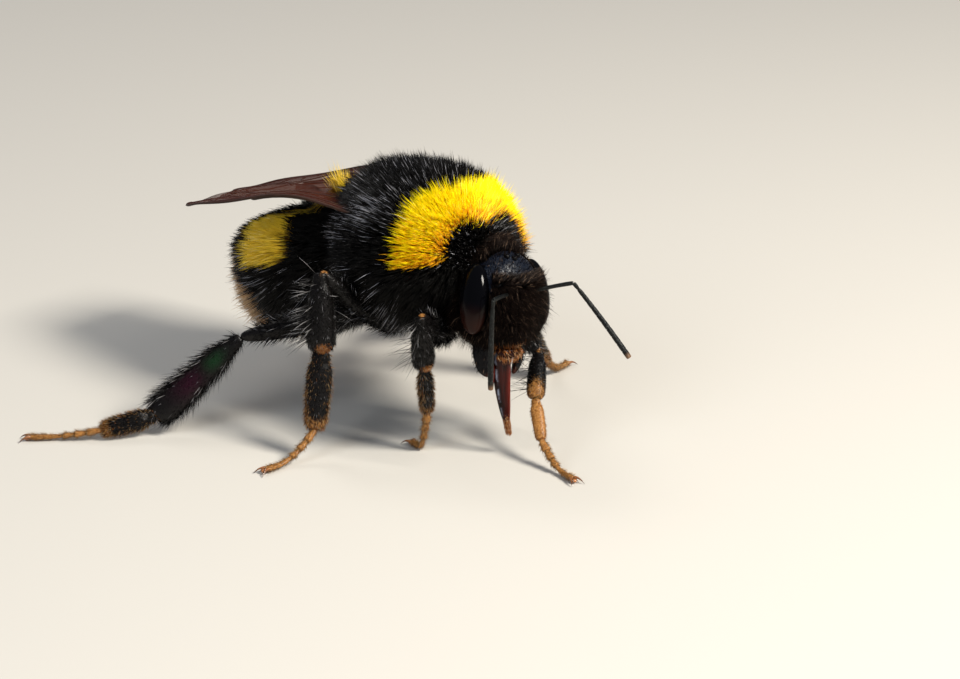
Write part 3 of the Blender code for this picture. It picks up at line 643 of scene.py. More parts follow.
# The coat is sorted by part and colour. The muzzle's is an orange-brown down over the mouth.
COATS = (                         # name, finish, slot
    ("head", face_hair, "black_coat"),
    ("muzzle", orange_hair, "brown_leg_coat"),
    ("thorax", black_hair, "black_coat"),
    ("collar", yellow_hair, "yellow_coat"),
    ("collar_amber", amber_hair, "yellow_coat"),
    ("abdomen", black_hair, "black_coat"),
    ("belt", belt_hair, "yellow_coat"),
    ("tail", buff_hair, "buff_coat"),
)
rng = np.random.default_rng(7)
for kind, count, thick, share in (
        ("long", LONG_HAIRS, LONG_WIDTH, joined(0.95, 1.0, 1.0)),
        ("down", DOWN_HAIRS, DOWN_WIDTH, joined(1.3, 0.25 + 1.1 * collar, 0.25))):
    places = scatter(trunk, density * share, count, rng)
    root = sample(trunk, places)
    normal = unit(sample(trunk_normals, places))
    of_head = places[0] < len(head_grid)
    of_abdomen = places[0] > len(head_grid) + len(thorax_grid)
    reach = np.where((kind == "down") & ~of_head, DOWN_LENGTH, 1.0)
    reach *= np.where(rng.random(count) > STRAY_FROM, np.where(of_head, *STRAY_LENGTHS), 1.0)
    hair_length = sample(length, places) * (0.75 + 0.5 * rng.random(count))
    hair_length *= 1 + 0.1 * drift(root, 0.9, 3)
    hair_length *= reach
    swirl = 0.2 * np.stack([drift(root, 1.3, seed) for seed in (4, 5, 6)], -1)
    lay = sample(comb, places) + swirl
    middle, tip = grown(root, normal, lay, hair_length, sample(lift, places), rng, wander=0.15)
    gathered(root, middle, tip, WISP, sample(pull, places))

    # Beside the keel and behind it, the hair of the abdomen stays below the wings, less strictly at the
    # sides and at the tail.
    beside, ahead = np.abs(STANCE[0] - tip[:, 0]), STANCE[1] - tip[:, 1]
    under_wings = of_abdomen & ((beside > KEEL) | (ahead < -KEEL_END))
    free = np.maximum(soft_step(beside, 1.5, 3.5), soft_step(-ahead, 9.0, 11.0))
    ceiling = back_height(ahead, beside) - HAIR_CLEARANCE + (0.5 + 0.25 * drift(tip, 0.5, 9)) * free
    for part in (middle, tip):
        part[:, 2] = np.where(under_wings, np.minimum(part[:, 2], ceiling), part[:, 2])
    root -= normal * ROOT_DEPTH
    width = np.where(of_head, 0.8, 1 - 0.2 * sample(yellow, places)) * thick
    width *= 0.8 + 0.4 * rng.random(count)
    spot = np.stack([places[1] / COLUMNS, places[0] / len(trunk)], -1)

    # Its tone and colour: each marking frays into the next at its edge.
    tone = rng.random(count)
    # Painted shade holds tones low, so that no tip there turns pale.
    tone *= 1 - 0.9 * sample(shadow, places)
    # Some hairs where the flank and the wing's tufts catch light get a pale tip: painted glints.
    tone = np.where(rng.random(count) < 0.35 * sample(painted_glint, places), 1.0, tone)
    is_amber = rng.random(count) < sample(gold, places)
    is_yellow = sample(yellow, places) + rng.normal(0, 0.22, count).clip(-0.45, 0.45) > 0.5
    is_buff = sample(buff, places) + rng.normal(0, 0.17, count).clip(-0.4, 0.4) > 0.5
    is_black = ~(is_yellow | is_buff)
    is_muzzle = of_head & (sample(joined(muzzle, 0.0, 0.0), places) * (1 + rng.random(count)) > 1.5)
    masks = (of_head & ~is_muzzle, is_muzzle, is_black & ~of_head & ~of_abdomen,
             is_yellow & ~of_abdomen & ~is_amber, is_yellow & ~of_abdomen & is_amber,
             is_black & of_abdomen, is_yellow & of_abdomen, is_buff)
    for (part, finish, slot), mask in zip(COATS, masks):
        members = np.flatnonzero(mask)
        pieces = -(-len(members) // (PIECE_HAIRS if kind == "long" else 2 * PIECE_HAIRS))
        for piece, chunk in enumerate(np.array_split(members, pieces) if pieces else ()):
            each = (values[chunk] for values in (root, middle, tip, width, spot, tone))
            coat = hairs(f"coat_{part}_{kind}_{piece + 1}", *each, finish, kind == "long")
            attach(coat, "root")

# ---------------------------------------------------------------- eyes
# Two tall beans of dark glossy facets on the sides of the head, and three glassy beads on the crown.
BEAD_RADIUS = 0.15
BEADS = ((0.6, 0.0), (0.4, 0.36), (0.4, -0.36))   # forward and right of the head's centre
FACET = 0.028
SIDES = (("right", 1), ("left", -1))

eye_finish = Finish("eye", IOR=1.2)
facets = eye_finish.node("ShaderNodeTexVoronoi", {},
                         {"Vector": eye_finish.place(), "Scale": 1 / (FACET * MM)})
# The lower part of each eye is painted brown: a painted reflection of the floor.
painted_reflection = eye_finish.attribute("low")
eye_finish.paint(Base_Color=eye_finish.mix(painted_reflection, (0.001, 0.001, 0.0015), (0.018, 0.006, 0.004)),
                 Roughness=0.1 + 0.12 * painted_reflection)
eye_finish.bump(1 - facets, 0.003, 0.25)


def ball(rows, columns):
    """Unit sphere points from pole to pole."""
    return sphere(np.radians(np.linspace(0, 180, rows)), columns)


for name, sign in SIDES:
    p = ball(72, 96)
    bean = p * EYE_RADII
    bean[..., 0] -= EYE_RAKE * p[..., 2]
    seat = on_head(EYE_SEAT[0], sign * EYE_SEAT[1], EYE_SEAT[2])
    turn = HEAD_TURN @ turning(0, 0, sign * EYE_LEAN)
    # Its low values mark where the painted floor reflection lies.
    eye = closed_forms(f"compound_eye_{name}", [seat + aligned(bean, turn)], eye_finish,
                       low=[soft_step(-p[..., 2], 0.0, 0.9)])
    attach(eye, "root")
    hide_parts(f"eye_{name}")

beads = []
for forward, right in BEADS:
    gap = np.where(head_up > 0, np.hypot(head_forward - forward, head_right - right), np.inf)
    seat = head_grid[np.unravel_index(gap.argmin(), gap.shape)]     # the nearest point of the crown
    beads.append(seat + ball(20, 32) * BEAD_RADIUS)
simple_eyes = closed_forms("simple_eyes", beads, eye_finish, low=[0.0] * 3)
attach(simple_eyes, "root")
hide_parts(*(f"ocellus_{index}" for index in (1, 2, 3)))

# ---------------------------------------------------------------- mandibles and labrum
# Two spoon-shaped jaws of black shell with red-brown tips fold under a lip (labrum) that carries a
# fringe of short orange-brown hairs over the root of the tongue.
MANDIBLE = ((0.3, 1.2, -1.9), (0.35, 1.4, -3.1), (0.6, 0.75, -3.85))   # root, bow and tip, on the head
MANDIBLE_SIZE = (0.98, 0.6)
LABRUM = ((0.8, 0.65, -2.5), (1.3, 0.0, -2.72))                        # end and bow
LABRUM_SIZE = (0.5, 0.36)
LIP_HAIRS = 180
JAW_HAIRS = 260
JAW_COLUMNS = 36
TUBE_COLUMNS = 28                 # points round a limb
LIMB_ROOT_DEPTH = 0.03


def stations(count):
    """Shares from 0 to 1, closer together towards both ends."""
    return (1 - np.cos(np.linspace(0, np.pi, count))) / 2


def bow(start, corner, end, share):
    """Points of the quadratic Bezier curve that leaves start towards corner and arrives at end."""
    start, corner, end = (np.asarray(place, float) for place in (start, corner, end))
    share = np.asarray(share)[:, None]
    return start * (1 - share) ** 2 + corner * 2 * share * (1 - share) + end * share ** 2


def round_ends(share, blunt=2.5):
    """From 0 up to 1 and back to 0, like half an ellipse with the power blunt in place of 2: the larger
    it is, the blunter the ends."""
    return np.maximum(1 - np.abs(2 * share - 1) ** blunt, 0) ** (1 / blunt)


def swept(path, width, thickness, flat, columns=TUBE_COLUMNS):
    """An ellipse of that width and thickness carried along a path; flat is the way its thin side looks."""
    tangent = unit(np.gradient(path, axis=0))
    flat = np.broadcast_to(np.asarray(flat, float), path.shape)
    thin = unit(flat - tangent * (flat * tangent).sum(-1, keepdims=True))
    wide = np.cross(tangent, thin)
    angle = circle(columns)[:, None]
    width, thickness = (np.broadcast_to(size, len(path))[:, None, None] / 2 for size in (width, thickness))
    return path[:, None] + wide[:, None] * np.cos(angle) * width + thin[:, None] * np.sin(angle) * thickness


shell_finish = Finish("black_shell", IOR=1.2)
ridges = shell_finish.noise(0.11, 3, (1, 1, 0.3))
amber = shell_finish.attribute("amber")
shell_finish.paint(Base_Color=shell_finish.mix(amber, (0.002, 0.002, 0.003), (0.16, 0.03, 0.006)),
                   Roughness=0.05 + 0.2 * ridges)
shell_finish.bump(ridges, 0.07)

share = stations(40)
blades = []
for name, sign in SIDES:
    path = bow(*(on_head(forward, sign * out, up) for forward, out, up in MANDIBLE), share)
    spoon = round_ends(share, 3) * (1 - 0.45 * share + 0.1 * hump((share - 0.75) / 0.15))
    blade = swept(path, spoon * MANDIBLE_SIZE[0], spoon * MANDIBLE_SIZE[1],
                  aligned((1, sign, 0), HEAD_TURN), JAW_COLUMNS)
    blades.append(blade)
    jaw = closed_forms(f"jaw_{name}", [blade], shell_finish,
                       amber=[0.2 * soft_step(share, 0.8, 1.0)[:, None]])
    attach(jaw, "root")
    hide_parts(f"mandible_{name}")

end, corner = LABRUM
path = bow(on_head(end[0], -end[1], end[2]), on_head(*corner), on_head(*end), share)
lip_form = swept(path, round_ends(share) * LABRUM_SIZE[0], round_ends(share) * LABRUM_SIZE[1],
                 aligned((1, 0, 0.3), HEAD_TURN), JAW_COLUMNS)
lip = closed_forms("lip", [lip_form], shell_finish, amber=[0.1])
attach(lip, "root")
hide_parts("labrum")


def coat_of(grid, density, length, lift, comb, count, width, rng, wander=0.25, curl=12, strip=(0, 1)):
    """Hairs on one limb: fields are given per grid point, and strip is its share of the unwrapped map.
    Returns root, middle, tip, width, spot and tone of each hair."""
    shape = grid.shape[:2]
    spots = scatter(grid, np.broadcast_to(density, shape), count, rng)
    start = sample(grid, spots)
    normal = unit(sample(grid_normals(grid), spots))
    long = sample(np.broadcast_to(length, shape), spots) * (0.75 + 0.5 * rng.random(count))
    lay = sample(np.broadcast_to(comb, grid.shape), spots)
    rise = sample(np.broadcast_to(lift, shape), spots)
    middle, tip = grown(start, normal, lay, long, rise, rng, wander, curl)
    place = np.stack([spots[1] / shape[1], strip[0] + spots[0] / shape[0] * strip[1]], -1)
    thick = width * (0.8 + 0.4 * rng.random(count))
    return start - normal * LIMB_ROOT_DEPTH, middle, tip, thick, place, rng.random(count)


rng = np.random.default_rng(11)
fringe = coat_of(lip_form, density=1.0, length=0.42, lift=24.0, comb=aligned((0.6, 0, -1.0), HEAD_TURN),
                 count=LIP_HAIRS, width=0.014, rng=rng, wander=0.5)
lip_coat = hairs("coat_lip", *fringe, orange_hair)
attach(lip_coat, "root")
for (name, sign), blade in zip(SIDES, blades):
    stubble = coat_of(blade, density=1 - share[:, None], length=0.22, lift=30.0,
                      comb=aligned((0, 0, -1.0), HEAD_TURN), count=JAW_HAIRS, width=0.013, rng=rng)
    jaw_coat = hairs(f"coat_jaw_{name}", *stubble, face_hair)
    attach(jaw_coat, "root")

# ---------------------------------------------------------------- tongue
# A tapering sheath of two long glossy blades (galeae) that meet in a groove, with a thin palp beside it,
# holds the slender tongue, whose ringed tip stands out of it, hairy and lowered almost to the floor.
MOUTH = (0.4, 0.0, -2.4)
TONGUE_BOW = (0.65, 0.05, -4.3)
TONGUE_TIP = (6.24, 0.6, 1.15)
TONGUE_SIZE = (0.34, 0.30)
TONGUE_HAIRS = 700
TONGUE_RINGS = 34
SHEATH_SIZE = (1.02, 0.72)
SHEATH_COLUMNS = 40
GLINT_LINE = 33                    # where round the sheath the painted highlight streak runs, degrees
PALP = ((0.5, 0.55, -3.4), (0.55, 0.42, -4.55))   # bow and tip, on the head
PALP_SIZE = (0.22, 0.16)

tongue_finish = Finish("tongue", IOR=1.26)
streaks = tongue_finish.noise(0.25, 3, (1, 1, 0.2))
# amber carries the tongue's own redder tip and the palp's red, and on the galeae a painted rim light.
red_and_rim_light = tongue_finish.attribute("amber")
# A broken blue-white streak down one ridge of the sheath is a painted highlight.
painted_glint_streak = tongue_finish.attribute("pale") * tongue_finish.noise(0.3, 3).step(0.4, 0.6)
dark_red = tongue_finish.mix(streaks.step(0.35, 0.65), (0.001, 0.0004, 0.0004), (0.018, 0.001, 0.0005))
red = tongue_finish.mix(red_and_rim_light, dark_red, (0.20, 0.010, 0.0012))
tongue_finish.paint(Base_Color=tongue_finish.mix(painted_glint_streak, red, (0.30, 0.33, 0.42)),
                    Roughness=0.05 + 0.15 * streaks)
tongue_finish.bump(streaks, 0.06)

mouth, tongue_bow, tongue_end = on_head(*MOUTH), on_head(*TONGUE_BOW), bee(*TONGUE_TIP)
share = stations(64)
path = bow(mouth, tongue_bow, tongue_end, share * 0.88)
taper = round_ends(share, 6) * (1 - 0.6 * share ** 2)
around = circle(SHEATH_COLUMNS)
groove = 1 - 0.22 * hump(np.sin((around - np.pi / 2) / 2) / 0.16)
whole = swept(path, SHEATH_SIZE[0] * taper, SHEATH_SIZE[1] * taper, aligned((1, 0.25, 0), HEAD_TURN),
              SHEATH_COLUMNS)
galeae = path[:, None] + (whole - path[:, None]) * groove[:, None]
# One side of the sheath is painted red as if light shone through its edge: a painted rim light.
painted_rim_light = (0.5 - 0.5 * np.cos(around)) ** 5
angle = np.arange(SHEATH_COLUMNS) * 360 / SHEATH_COLUMNS
painted_glint_line = hump(((angle - GLINT_LINE + 180) % 360 - 180) / 8)
course = bow(mouth, on_head(*PALP[0]), on_head(*PALP[1]), share)
palp = swept(course, PALP_SIZE[0] * round_ends(share, 5) * (1 - 0.4 * share),
             PALP_SIZE[1] * round_ends(share, 5), aligned((1, 0, 0), HEAD_TURN))
# Its pale values mark the painted highlight streak, and its amber ones on the galeae the painted rim light.
sheath = closed_forms("sheath", [galeae, palp], tongue_finish,
                      amber=[painted_rim_light * soft_step(share, 0.1, 0.5)[:, None], 0.3],
                      pale=[painted_glint_line * hump((share[:, None] - 0.45) / 0.4), 0.0])
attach(sheath, "root")
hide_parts("tongue_sheath")

path = bow(mouth, tongue_bow, tongue_end, 0.3 + 0.7 * share)
rings = 1 + 0.06 * np.sin(share * 2 * np.pi * TONGUE_RINGS)
taper = round_ends(share, 6) * (1 - 0.35 * share) * rings
tongue_form = swept(path, TONGUE_SIZE[0] * taper, TONGUE_SIZE[1] * taper, aligned((1, 0, 0), HEAD_TURN))
tongue = closed_forms("tongue", [tongue_form], tongue_finish,
                      amber=[soft_step(share, 0.5, 1.0)[:, None] * 0.7], pale=[0.0])
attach(tongue, "root")
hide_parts("tongue_tip")
hairy = soft_step(share, 0.62, 0.8)[:, None]
bristles = coat_of(tongue_form, density=hairy, length=0.16, lift=30.0,
                   comb=unit(np.gradient(path, axis=0))[:, None], count=TONGUE_HAIRS, width=0.010, rng=rng)
tongue_coat = hairs("coat_tongue", *bristles, orange_hair)
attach(tongue_coat, "root")

# ---------------------------------------------------------------- feelers
# Each feeler is a long bare first joint (scape) from the face and, past the elbow, a string of eleven
# short joints, black with a fine grey speckle and a brown tip.
ELBOWS = {"right": (7.75, 3.3, 9.2), "left": (8.5, -1.55, 9.05)}
FEELER_TIPS = {"right": (7.56, 3.28, 4.56), "left": (11.23, -2.65, 5.57)}
FEELER_WIDTH = 0.28
FEELER_JOINTS = 11
FEELER_FLAT = (0.3, 1, 0.2)

feeler_finish = Finish("feeler", IOR=1.3)
speckle = feeler_finish.noise(0.05, 2)
feeler_shade = feeler_finish.mix(speckle.step(0.58, 0.78), (0.002, 0.0025, 0.0025), (0.06, 0.075, 0.07))
feeler_finish.paint(
    Base_Color=feeler_finish.mix(feeler_finish.attribute("amber"), feeler_shade, (0.16, 0.09, 0.05)),
    Roughness=0.15 + 0.35 * speckle)
feeler_finish.bump(speckle, 0.03)

for name, sign in SIDES:
    socket = on_head(FEELER_SEAT[0], sign * FEELER_SEAT[1], FEELER_SEAT[2])
    elbow, tip = bee(*ELBOWS[name]), bee(*FEELER_TIPS[name])
    share = stations(48)
    path = bow(socket, (socket + elbow) / 2 + (0, 0, 0.08), elbow, share)
    width = round_ends(share, 8) * (0.6 + 0.2 * share + 0.35 * hump((share - 0.06) / 0.06))
    width *= 1 - 0.3 * hump((share - 0.14) / 0.04)
    scape = swept(path, FEELER_WIDTH * width, FEELER_WIDTH * width, FEELER_FLAT)
    share = stations(260)
    path = bow(elbow, (elbow + tip) / 2 + (0, 0.12, 0.25), tip, share)
    groove = np.abs((share * FEELER_JOINTS + 0.5) % 1 - 0.5)
    width = round_ends(share, 14) * (0.76 + 0.24 * soft_step(share, 0.0, 0.9))
    width *= 1 - 0.16 * hump(groove / 0.05) - 0.22 * hump((share - 0.085) / 0.03)
    string = swept(path, FEELER_WIDTH * width, FEELER_WIDTH * width, FEELER_FLAT)
    feeler = closed_forms(f"feeler_{name}", [scape, string], feeler_finish,
                          amber=[0.0, soft_step(share, 0.93, 0.99)[:, None]])
    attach(feeler, "root")
    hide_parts(f"scape_{name}", f"flagellum_{name}")

# ---------------------------------------------------------------- wings
# Two pairs of smoky membranes, laid back over the abdomen and bowed down, each stiffened by a net of
# dark tubular veins and by a thick front edge.
WING_SWING = 1.5                  # how far the tips turn in, degrees
MEMBRANE = 0.035
VEIN_WIDTHS = (0.20, 0.11)        # the front edge's vein and the others, at the root
EDGE_POINTS = 90
WINGS = {                         # length and chord, front edge and hind edge as shares of those
    "forewing": ((16.1, 4.6),
                 ((0, 0), (0.25, -0.04), (0.55, -0.06), (0.82, 0.02), (0.96, 0.2), (1, 0.45)),
                 ((0, 0.18), (0.15, 0.35), (0.38, 0.6), (0.58, 0.92), (0.76, 1), (0.92, 0.8), (1, 0.45))),
    "hindwing": ((11.0, 3.0),
                 ((0, 0.05), (0.4, 0), (0.8, 0.1), (0.95, 0.25), (1, 0.42)),
                 ((0, 0.2), (0.05, 0.35), (0.25, 0.72), (0.55, 1), (0.86, 0.85), (1, 0.42))),
}
VEINS = {                         # lines of points: share of the wing's length, share from front to hind edge
    "forewing": (
        ((0, 0.02), (0.3, 0.02), (0.6, 0.02), (0.88, 0.03), (0.93, 0.09)),
        ((0, 0.3), (0.2, 0.2), (0.45, 0.12), (0.6, 0.06)),
        ((0.57, 0.08), (0.63, 0.2), (0.75, 0.24), (0.88, 0.05)),
        ((0, 0.45), (0.2, 0.42), (0.36, 0.4), (0.52, 0.52), (0.66, 0.6), (0.76, 0.62)),
        ((0.36, 0.4), (0.4, 0.27), (0.44, 0.13)),
        ((0.41, 0.26), (0.52, 0.33), (0.64, 0.36), (0.74, 0.38), (0.86, 0.36)),
        ((0.51, 0.11), (0.53, 0.22), (0.52, 0.33)),
        ((0.64, 0.21), (0.655, 0.28), (0.64, 0.36)),
        ((0.75, 0.24), (0.765, 0.31), (0.74, 0.38)),
        ((0.53, 0.33), (0.55, 0.42), (0.53, 0.52)),
        ((0.74, 0.38), (0.73, 0.5), (0.7, 0.61)),
        ((0, 0.8), (0.15, 0.84), (0.3, 0.8), (0.42, 0.68), (0.5, 0.52)),
        ((0.33, 0.4), (0.34, 0.58), (0.32, 0.78))),
    "hindwing": (
        ((0, 0.04), (0.4, 0.03), (0.75, 0.04), (0.95, 0.1)),
        ((0, 0.35), (0.25, 0.3), (0.45, 0.22), (0.7, 0.25), (0.9, 0.3)),
        ((0.2, 0.31), (0.4, 0.5), (0.62, 0.62), (0.8, 0.68)),
        ((0.44, 0.23), (0.46, 0.38), (0.42, 0.51))),
}

membrane_finish = Finish("membrane", IOR=1.13)
cloud = membrane_finish.noise(0.9, 3)
rim = membrane_finish.attribute("rim")
fore = membrane_finish.attribute("fore")
smoke = membrane_finish.mix(fore, (0.085, 0.018, 0.007), (0.055, 0.008, 0.003))
membrane_finish.paint(Base_Color=membrane_finish.mix(rim, smoke, (0.02, 0.006, 0.003)),
                      Alpha=0.4 + 0.25 * fore + 0.2 * rim + 0.2 * cloud, Roughness=0.4 + 0.2 * cloud)
membrane_finish.bump(membrane_finish.noise(0.35, 2), 0.03)
vein_finish = Finish("vein", Roughness=0.5, IOR=1.3)
vein_finish.paint(Base_Color=vein_finish.mix(vein_finish.noise(0.6, 2), (0.05, 0.018, 0.009),
                                             (0.018, 0.007, 0.004)))
vein_finish.bump(vein_finish.noise(0.08, 2), 0.01)


def smooth_line(points, count):
    """A smooth curve through points (Catmull-Rom): between two of them it leaves each along the line
    that joins that point's neighbours."""
    points = np.asarray(points, float)
    padded = np.vstack([2 * points[0] - points[1], points, 2 * points[-1] - points[-2]])
    place = np.linspace(0, len(points) - 1, count)
    index = np.minimum(place.astype(int), len(points) - 2)
    t = (place - index)[:, None]
    a, b, c, d = (padded[index + shift] for shift in range(4))
    return (2 * b + (c - a) * t + (2 * a - 5 * b + 4 * c - d) * t ** 2 + (3 * b - a - 3 * c + d) * t ** 3) / 2


def wing_place(kind, sign, along, across):
    """A point of the wing, from lengths along and across it: the wing is swung in, bows down along its
    length with its front edge raised, and its hind part is lightly pleated; the right wings lie over the
    left ones."""
    swing = math.radians(WING_SWING)
    hind = kind == "hindwing"
    across = across + 0.5 * hind
    forward = WING_ROOT[0] - along * math.cos(swing) + across * math.sin(swing)
    right = WING_ROOT[1] - along * math.sin(swing) - across * math.cos(swing)
    height = wing_height(forward) - 0.16 * hind + 0.04 * np.sin(across * 4.2 + along * 0.5)
    height = height + 0.55 * hump((along - 6) / 4) * np.clip(1 - across / 3, -0.2, 1)
    return bee(forward, sign * right, height + sign * 0.1 * soft_step(across, 2.0, 4.0))


# Round a wing's section: the way back from the front edge over the top, and forward again below.
over = np.concatenate([np.linspace(0, 1, 40), np.linspace(1, 0, 40)])
face = np.repeat([1, -1], 40)
level = face * MEMBRANE / 2 * np.sqrt(np.clip(np.minimum(over, 1 - over) * 20, 0, 1))
tip_share = soft_step(np.linspace(0, 1, EDGE_POINTS), 0.75, 1)[:, None]
edge_share = np.maximum(np.abs(2 * over - 1) ** 8, tip_share)
for kind, ((long, chord), front, hind) in WINGS.items():
    front, hind = (smooth_line(edge, EDGE_POINTS) * (long, chord) for edge in (front, hind))
    plan = front[:, None] * (1 - over)[:, None] + hind[:, None] * over[:, None]
    for name, sign in SIDES:
        sheet = wing_place(kind, sign, plan[..., 0], plan[..., 1])
        sheet[..., 2] += level
        sheet[0], sheet[-1] = sheet[0].mean(0), sheet[-1].mean(0)
        wing = closed_forms(f"wing_{kind}_{name}", [sheet], membrane_finish, rim=[edge_share],
                            fore=[1 - soft_step(over, 0.1, 0.6)])
        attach(wing, "root")
        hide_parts(f"{kind}_{name}")
        tubes = []
        for index, line in enumerate(VEINS[kind]):
            along, across = smooth_line(line, 36).T
            spot = sample(np.stack([front, hind], 1), (along * (EDGE_POINTS - 1), across))
            route = wing_place(kind, sign, spot[:, 0], spot[:, 1])
            thick = VEIN_WIDTHS[min(index, 1)] * round_ends(np.linspace(0, 1, 36), 10)
            thick *= 1 - 0.5 * along
            tubes.append(swept(route, thick, thick * 0.8, (0, 0, 1), 8))
        veins = closed_forms(f"veins_{kind}_{name}", tubes, vein_finish)
        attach(veins, "root")

# ---------------------------------------------------------------- legs
# Six legs of black shell joints: thigh (femur), shin (tibia), a long first foot joint (metatarsus) and
# four small ones, orange-brown at the foot. The hind shins are broad, shiny pollen baskets, bare between
# two fringes of long hair.
LEGS = {                          # coxa, knee, ankle, heel and toe
    "fore_right": ((3.0, 1.3, 6.3), (3.8, 4.3, 7.65), (3.65, 3.9, 4.85), (3.25, 3.3, 2.3), (1.85, 3.0)),
    "fore_left": ((3.1, -1.6, 6.3), (5.5, -2.3, 4.5), (6.9, -0.6, 2.85), (8.2, 0.35, 1.3), (10.9, 1.0)),
    "mid_right": ((0.2, 1.7, 6.0), (-1.4, 6.0, 9.1), (-0.9, 6.5, 5.25), (-0.45, 7.45, 1.5), (-0.7, 10.55)),
    "mid_left": ((0.2, -1.7, 6.0), (-0.6, -5.9, 8.3), (-0.2, -7.0, 4.4), (0.25, -8.7, 0.9), (-0.2, -10.7)),
    "hind_right": ((-2.2, 1.9, 6.3), (-6.3, 7.0, 4.75), (-8.4, 11.0, 1.05), (-9.85, 13.3, 0.55),
                   (-12.4, 15.9)),
    "hind_left": ((-2.2, -1.9, 6.3), (-4.9, -6.2, 6.4), (-7.9, -8.9, 2.5), (-9.6, -10.6, 0.6),
                  (-11.6, -12.9)),
}
JOINT_SIZES = {                   # width and thickness of the bare shell of femur, tibia and metatarsus
    "fore": ((1.0, 0.85), (1.05, 0.75), (0.75, 0.5)),
    "mid": ((1.0, 0.85), (1.35, 0.85), (1.25, 0.5)),
    "hind": ((1.05, 0.85), (1.42, 0.6), (1.0, 0.45)),
}
TIBIA_SWELL = {"fore": 0.3, "mid": 0.45, "hind": 0.6}
FLAT_FACES = {                    # which way the broad face of the shin looks: forward, out and up
    "fore_right": (0.9, 0.4, 0.1), "fore_left": (0.7, -0.7, 0.0),
    "mid": (0.75, 0.6, 0.2), "hind": (0.65, 0.68, 0.34),
}
TROCHANTER = (1.1, -0.75)         # out and up from the coxa, where the femur bows
TOE_HEIGHT = 0.21
SOLE_LENGTH = 0.75
FOOT_ENDS = (0.0, 0.2, 0.37, 0.53, 1.0)   # where the four small foot joints begin and end
FOOT_WIDTHS = (0.50, 0.46, 0.41, 0.40)
LEG_JOINTS = 7                    # femur, tibia, metatarsus and four small foot joints
LEG_LIFT = 42.0                   # how far most of the leg's hair stands up, degrees
FEMUR_HAIRS = 1900
TIBIA_HAIRS = {"fore": 2200, "mid": 2200, "hind": 2600}
PATCH_HAIRS = 240                 # short ones on the brown patch above the ankle
BRISTLES = {"fore": (20, 45), "mid": (60, 110), "hind": (60, 420)}   # on the femur and on the tibia
METATARSUS_HAIRS = (1300, 600, 260)       # black, brown and golden
PALE_METATARSUS_HAIRS = (40, 160, 260)    # on the paler leg
FOOT_HAIRS = (170, 170, 170, 260)
FLOOR_GAP = 0.02                  # least height of a hair's point above the floor

leg_finish = Finish("leg_shell", IOR=1.3)
dents = leg_finish.noise(0.1, 3)
# The hind shins' green and violet are painted sheen on their black shell.
leg_black = leg_finish.mix(leg_finish.attribute("violet"), (0.003, 0.0025, 0.0025), (0.012, 0.001, 0.005))
leg_black = leg_finish.mix(leg_finish.attribute("green"), leg_black, (0.004, 0.020, 0.006))
leg_brown = leg_finish.mix(dents.step(0.15, 0.75), (0.14, 0.045, 0.01), (0.38, 0.18, 0.05))
browned = (leg_finish.attribute("amber") + dents * 0.7 - 0.35).step(0.2, 0.8)
leg_finish.paint(Base_Color=leg_finish.mix(browned, leg_black, leg_brown), Roughness=0.15 + 0.3 * dents)
leg_finish.bump(dents, 0.03)


def leg_joint(start, end, sizes, flat, corner=None, swell=0.0, blunt=3.0, waist=0.0):
    """One joint of a leg along the curve from start to end, widened by swell towards its end and drawn
    in by waist near its start. Returns its grid, path and shares."""
    share = stations(36)
    path = bow(start, (start + end) / 2 if corner is None else corner, end, share)
    profile = round_ends(share, blunt) * (1 + swell * (share - 0.5))
    profile *= 1 - waist * hump((share - 0.12) / 0.09)
    return swept(path, sizes[0] * profile, sizes[1] * profile, flat), path, share


def foot_line(heel, toe):
    """Points from the heel to the toe, and their shares of the way: the line falls steeply, as a power of
    what is left of the run, and then lies flat over the length of the sole."""
    sole = toe - unit((toe - heel) * (1, 1, 0)) * SOLE_LENGTH
    run = np.linspace(0, 1, 60)[:, None]
    descent = heel + (sole - heel) * run
    descent[:, 2:] = sole[2] + (heel[2] - sole[2]) * (1 - run) ** 1.7
    line = np.vstack([descent, toe])
    travelled = np.concatenate([[0], np.cumsum(np.linalg.norm(np.diff(line, axis=0), axis=1))])
    return line, travelled / travelled[-1]


class Leg:
    """A leg as it is put together: its joints, their tints, and the hair that they carry."""

    def __init__(self, number, sign):
        self.number = number
        self.sign = sign
        self.grids = []
        self.tints = {"amber": [], "green": [], "violet": []}

    def add(self, joint, **tints):
        """Adds a joint with its tints, each a value or an array over the joint's grid."""
        self.grids.append(joint[0])
        for tint, amounts in self.tints.items():
            amounts.append(tints.get(tint, 0.0))

    def clothe(self, joint, count, density, length, lift, colour, width=0.015, curl=12, wander=0.3):
        """Hair on the joint that was added last, combed along it."""
        grid, path, _ = joint
        strips = len(LEGS) * LEG_JOINTS
        strip = ((self.number * LEG_JOINTS + len(self.grids) - 1) / strips, 1 / strips)
        comb = unit(np.gradient(path, axis=0))[:, None]
        coat = coat_of(grid, density, length, lift, comb, count, width, rng, wander, curl, strip)
        leg_coats[colour].append((self.sign, coat))

    def bristle(self, joint, count, density, length, lift):
        """A fringe of long, nearly straight hair."""
        self.clothe(joint, count, density, length, lift, "fringe", 0.013, 2, 0.25)


# Round a joint: how near its narrow edges and the middle of its outer face a point lies.
around = circle(TUBE_COLUMNS)
edge = np.abs(np.cos(around)) ** 3
facing = np.clip(np.sin(around), 0, 1)
middle_strip = facing ** 5

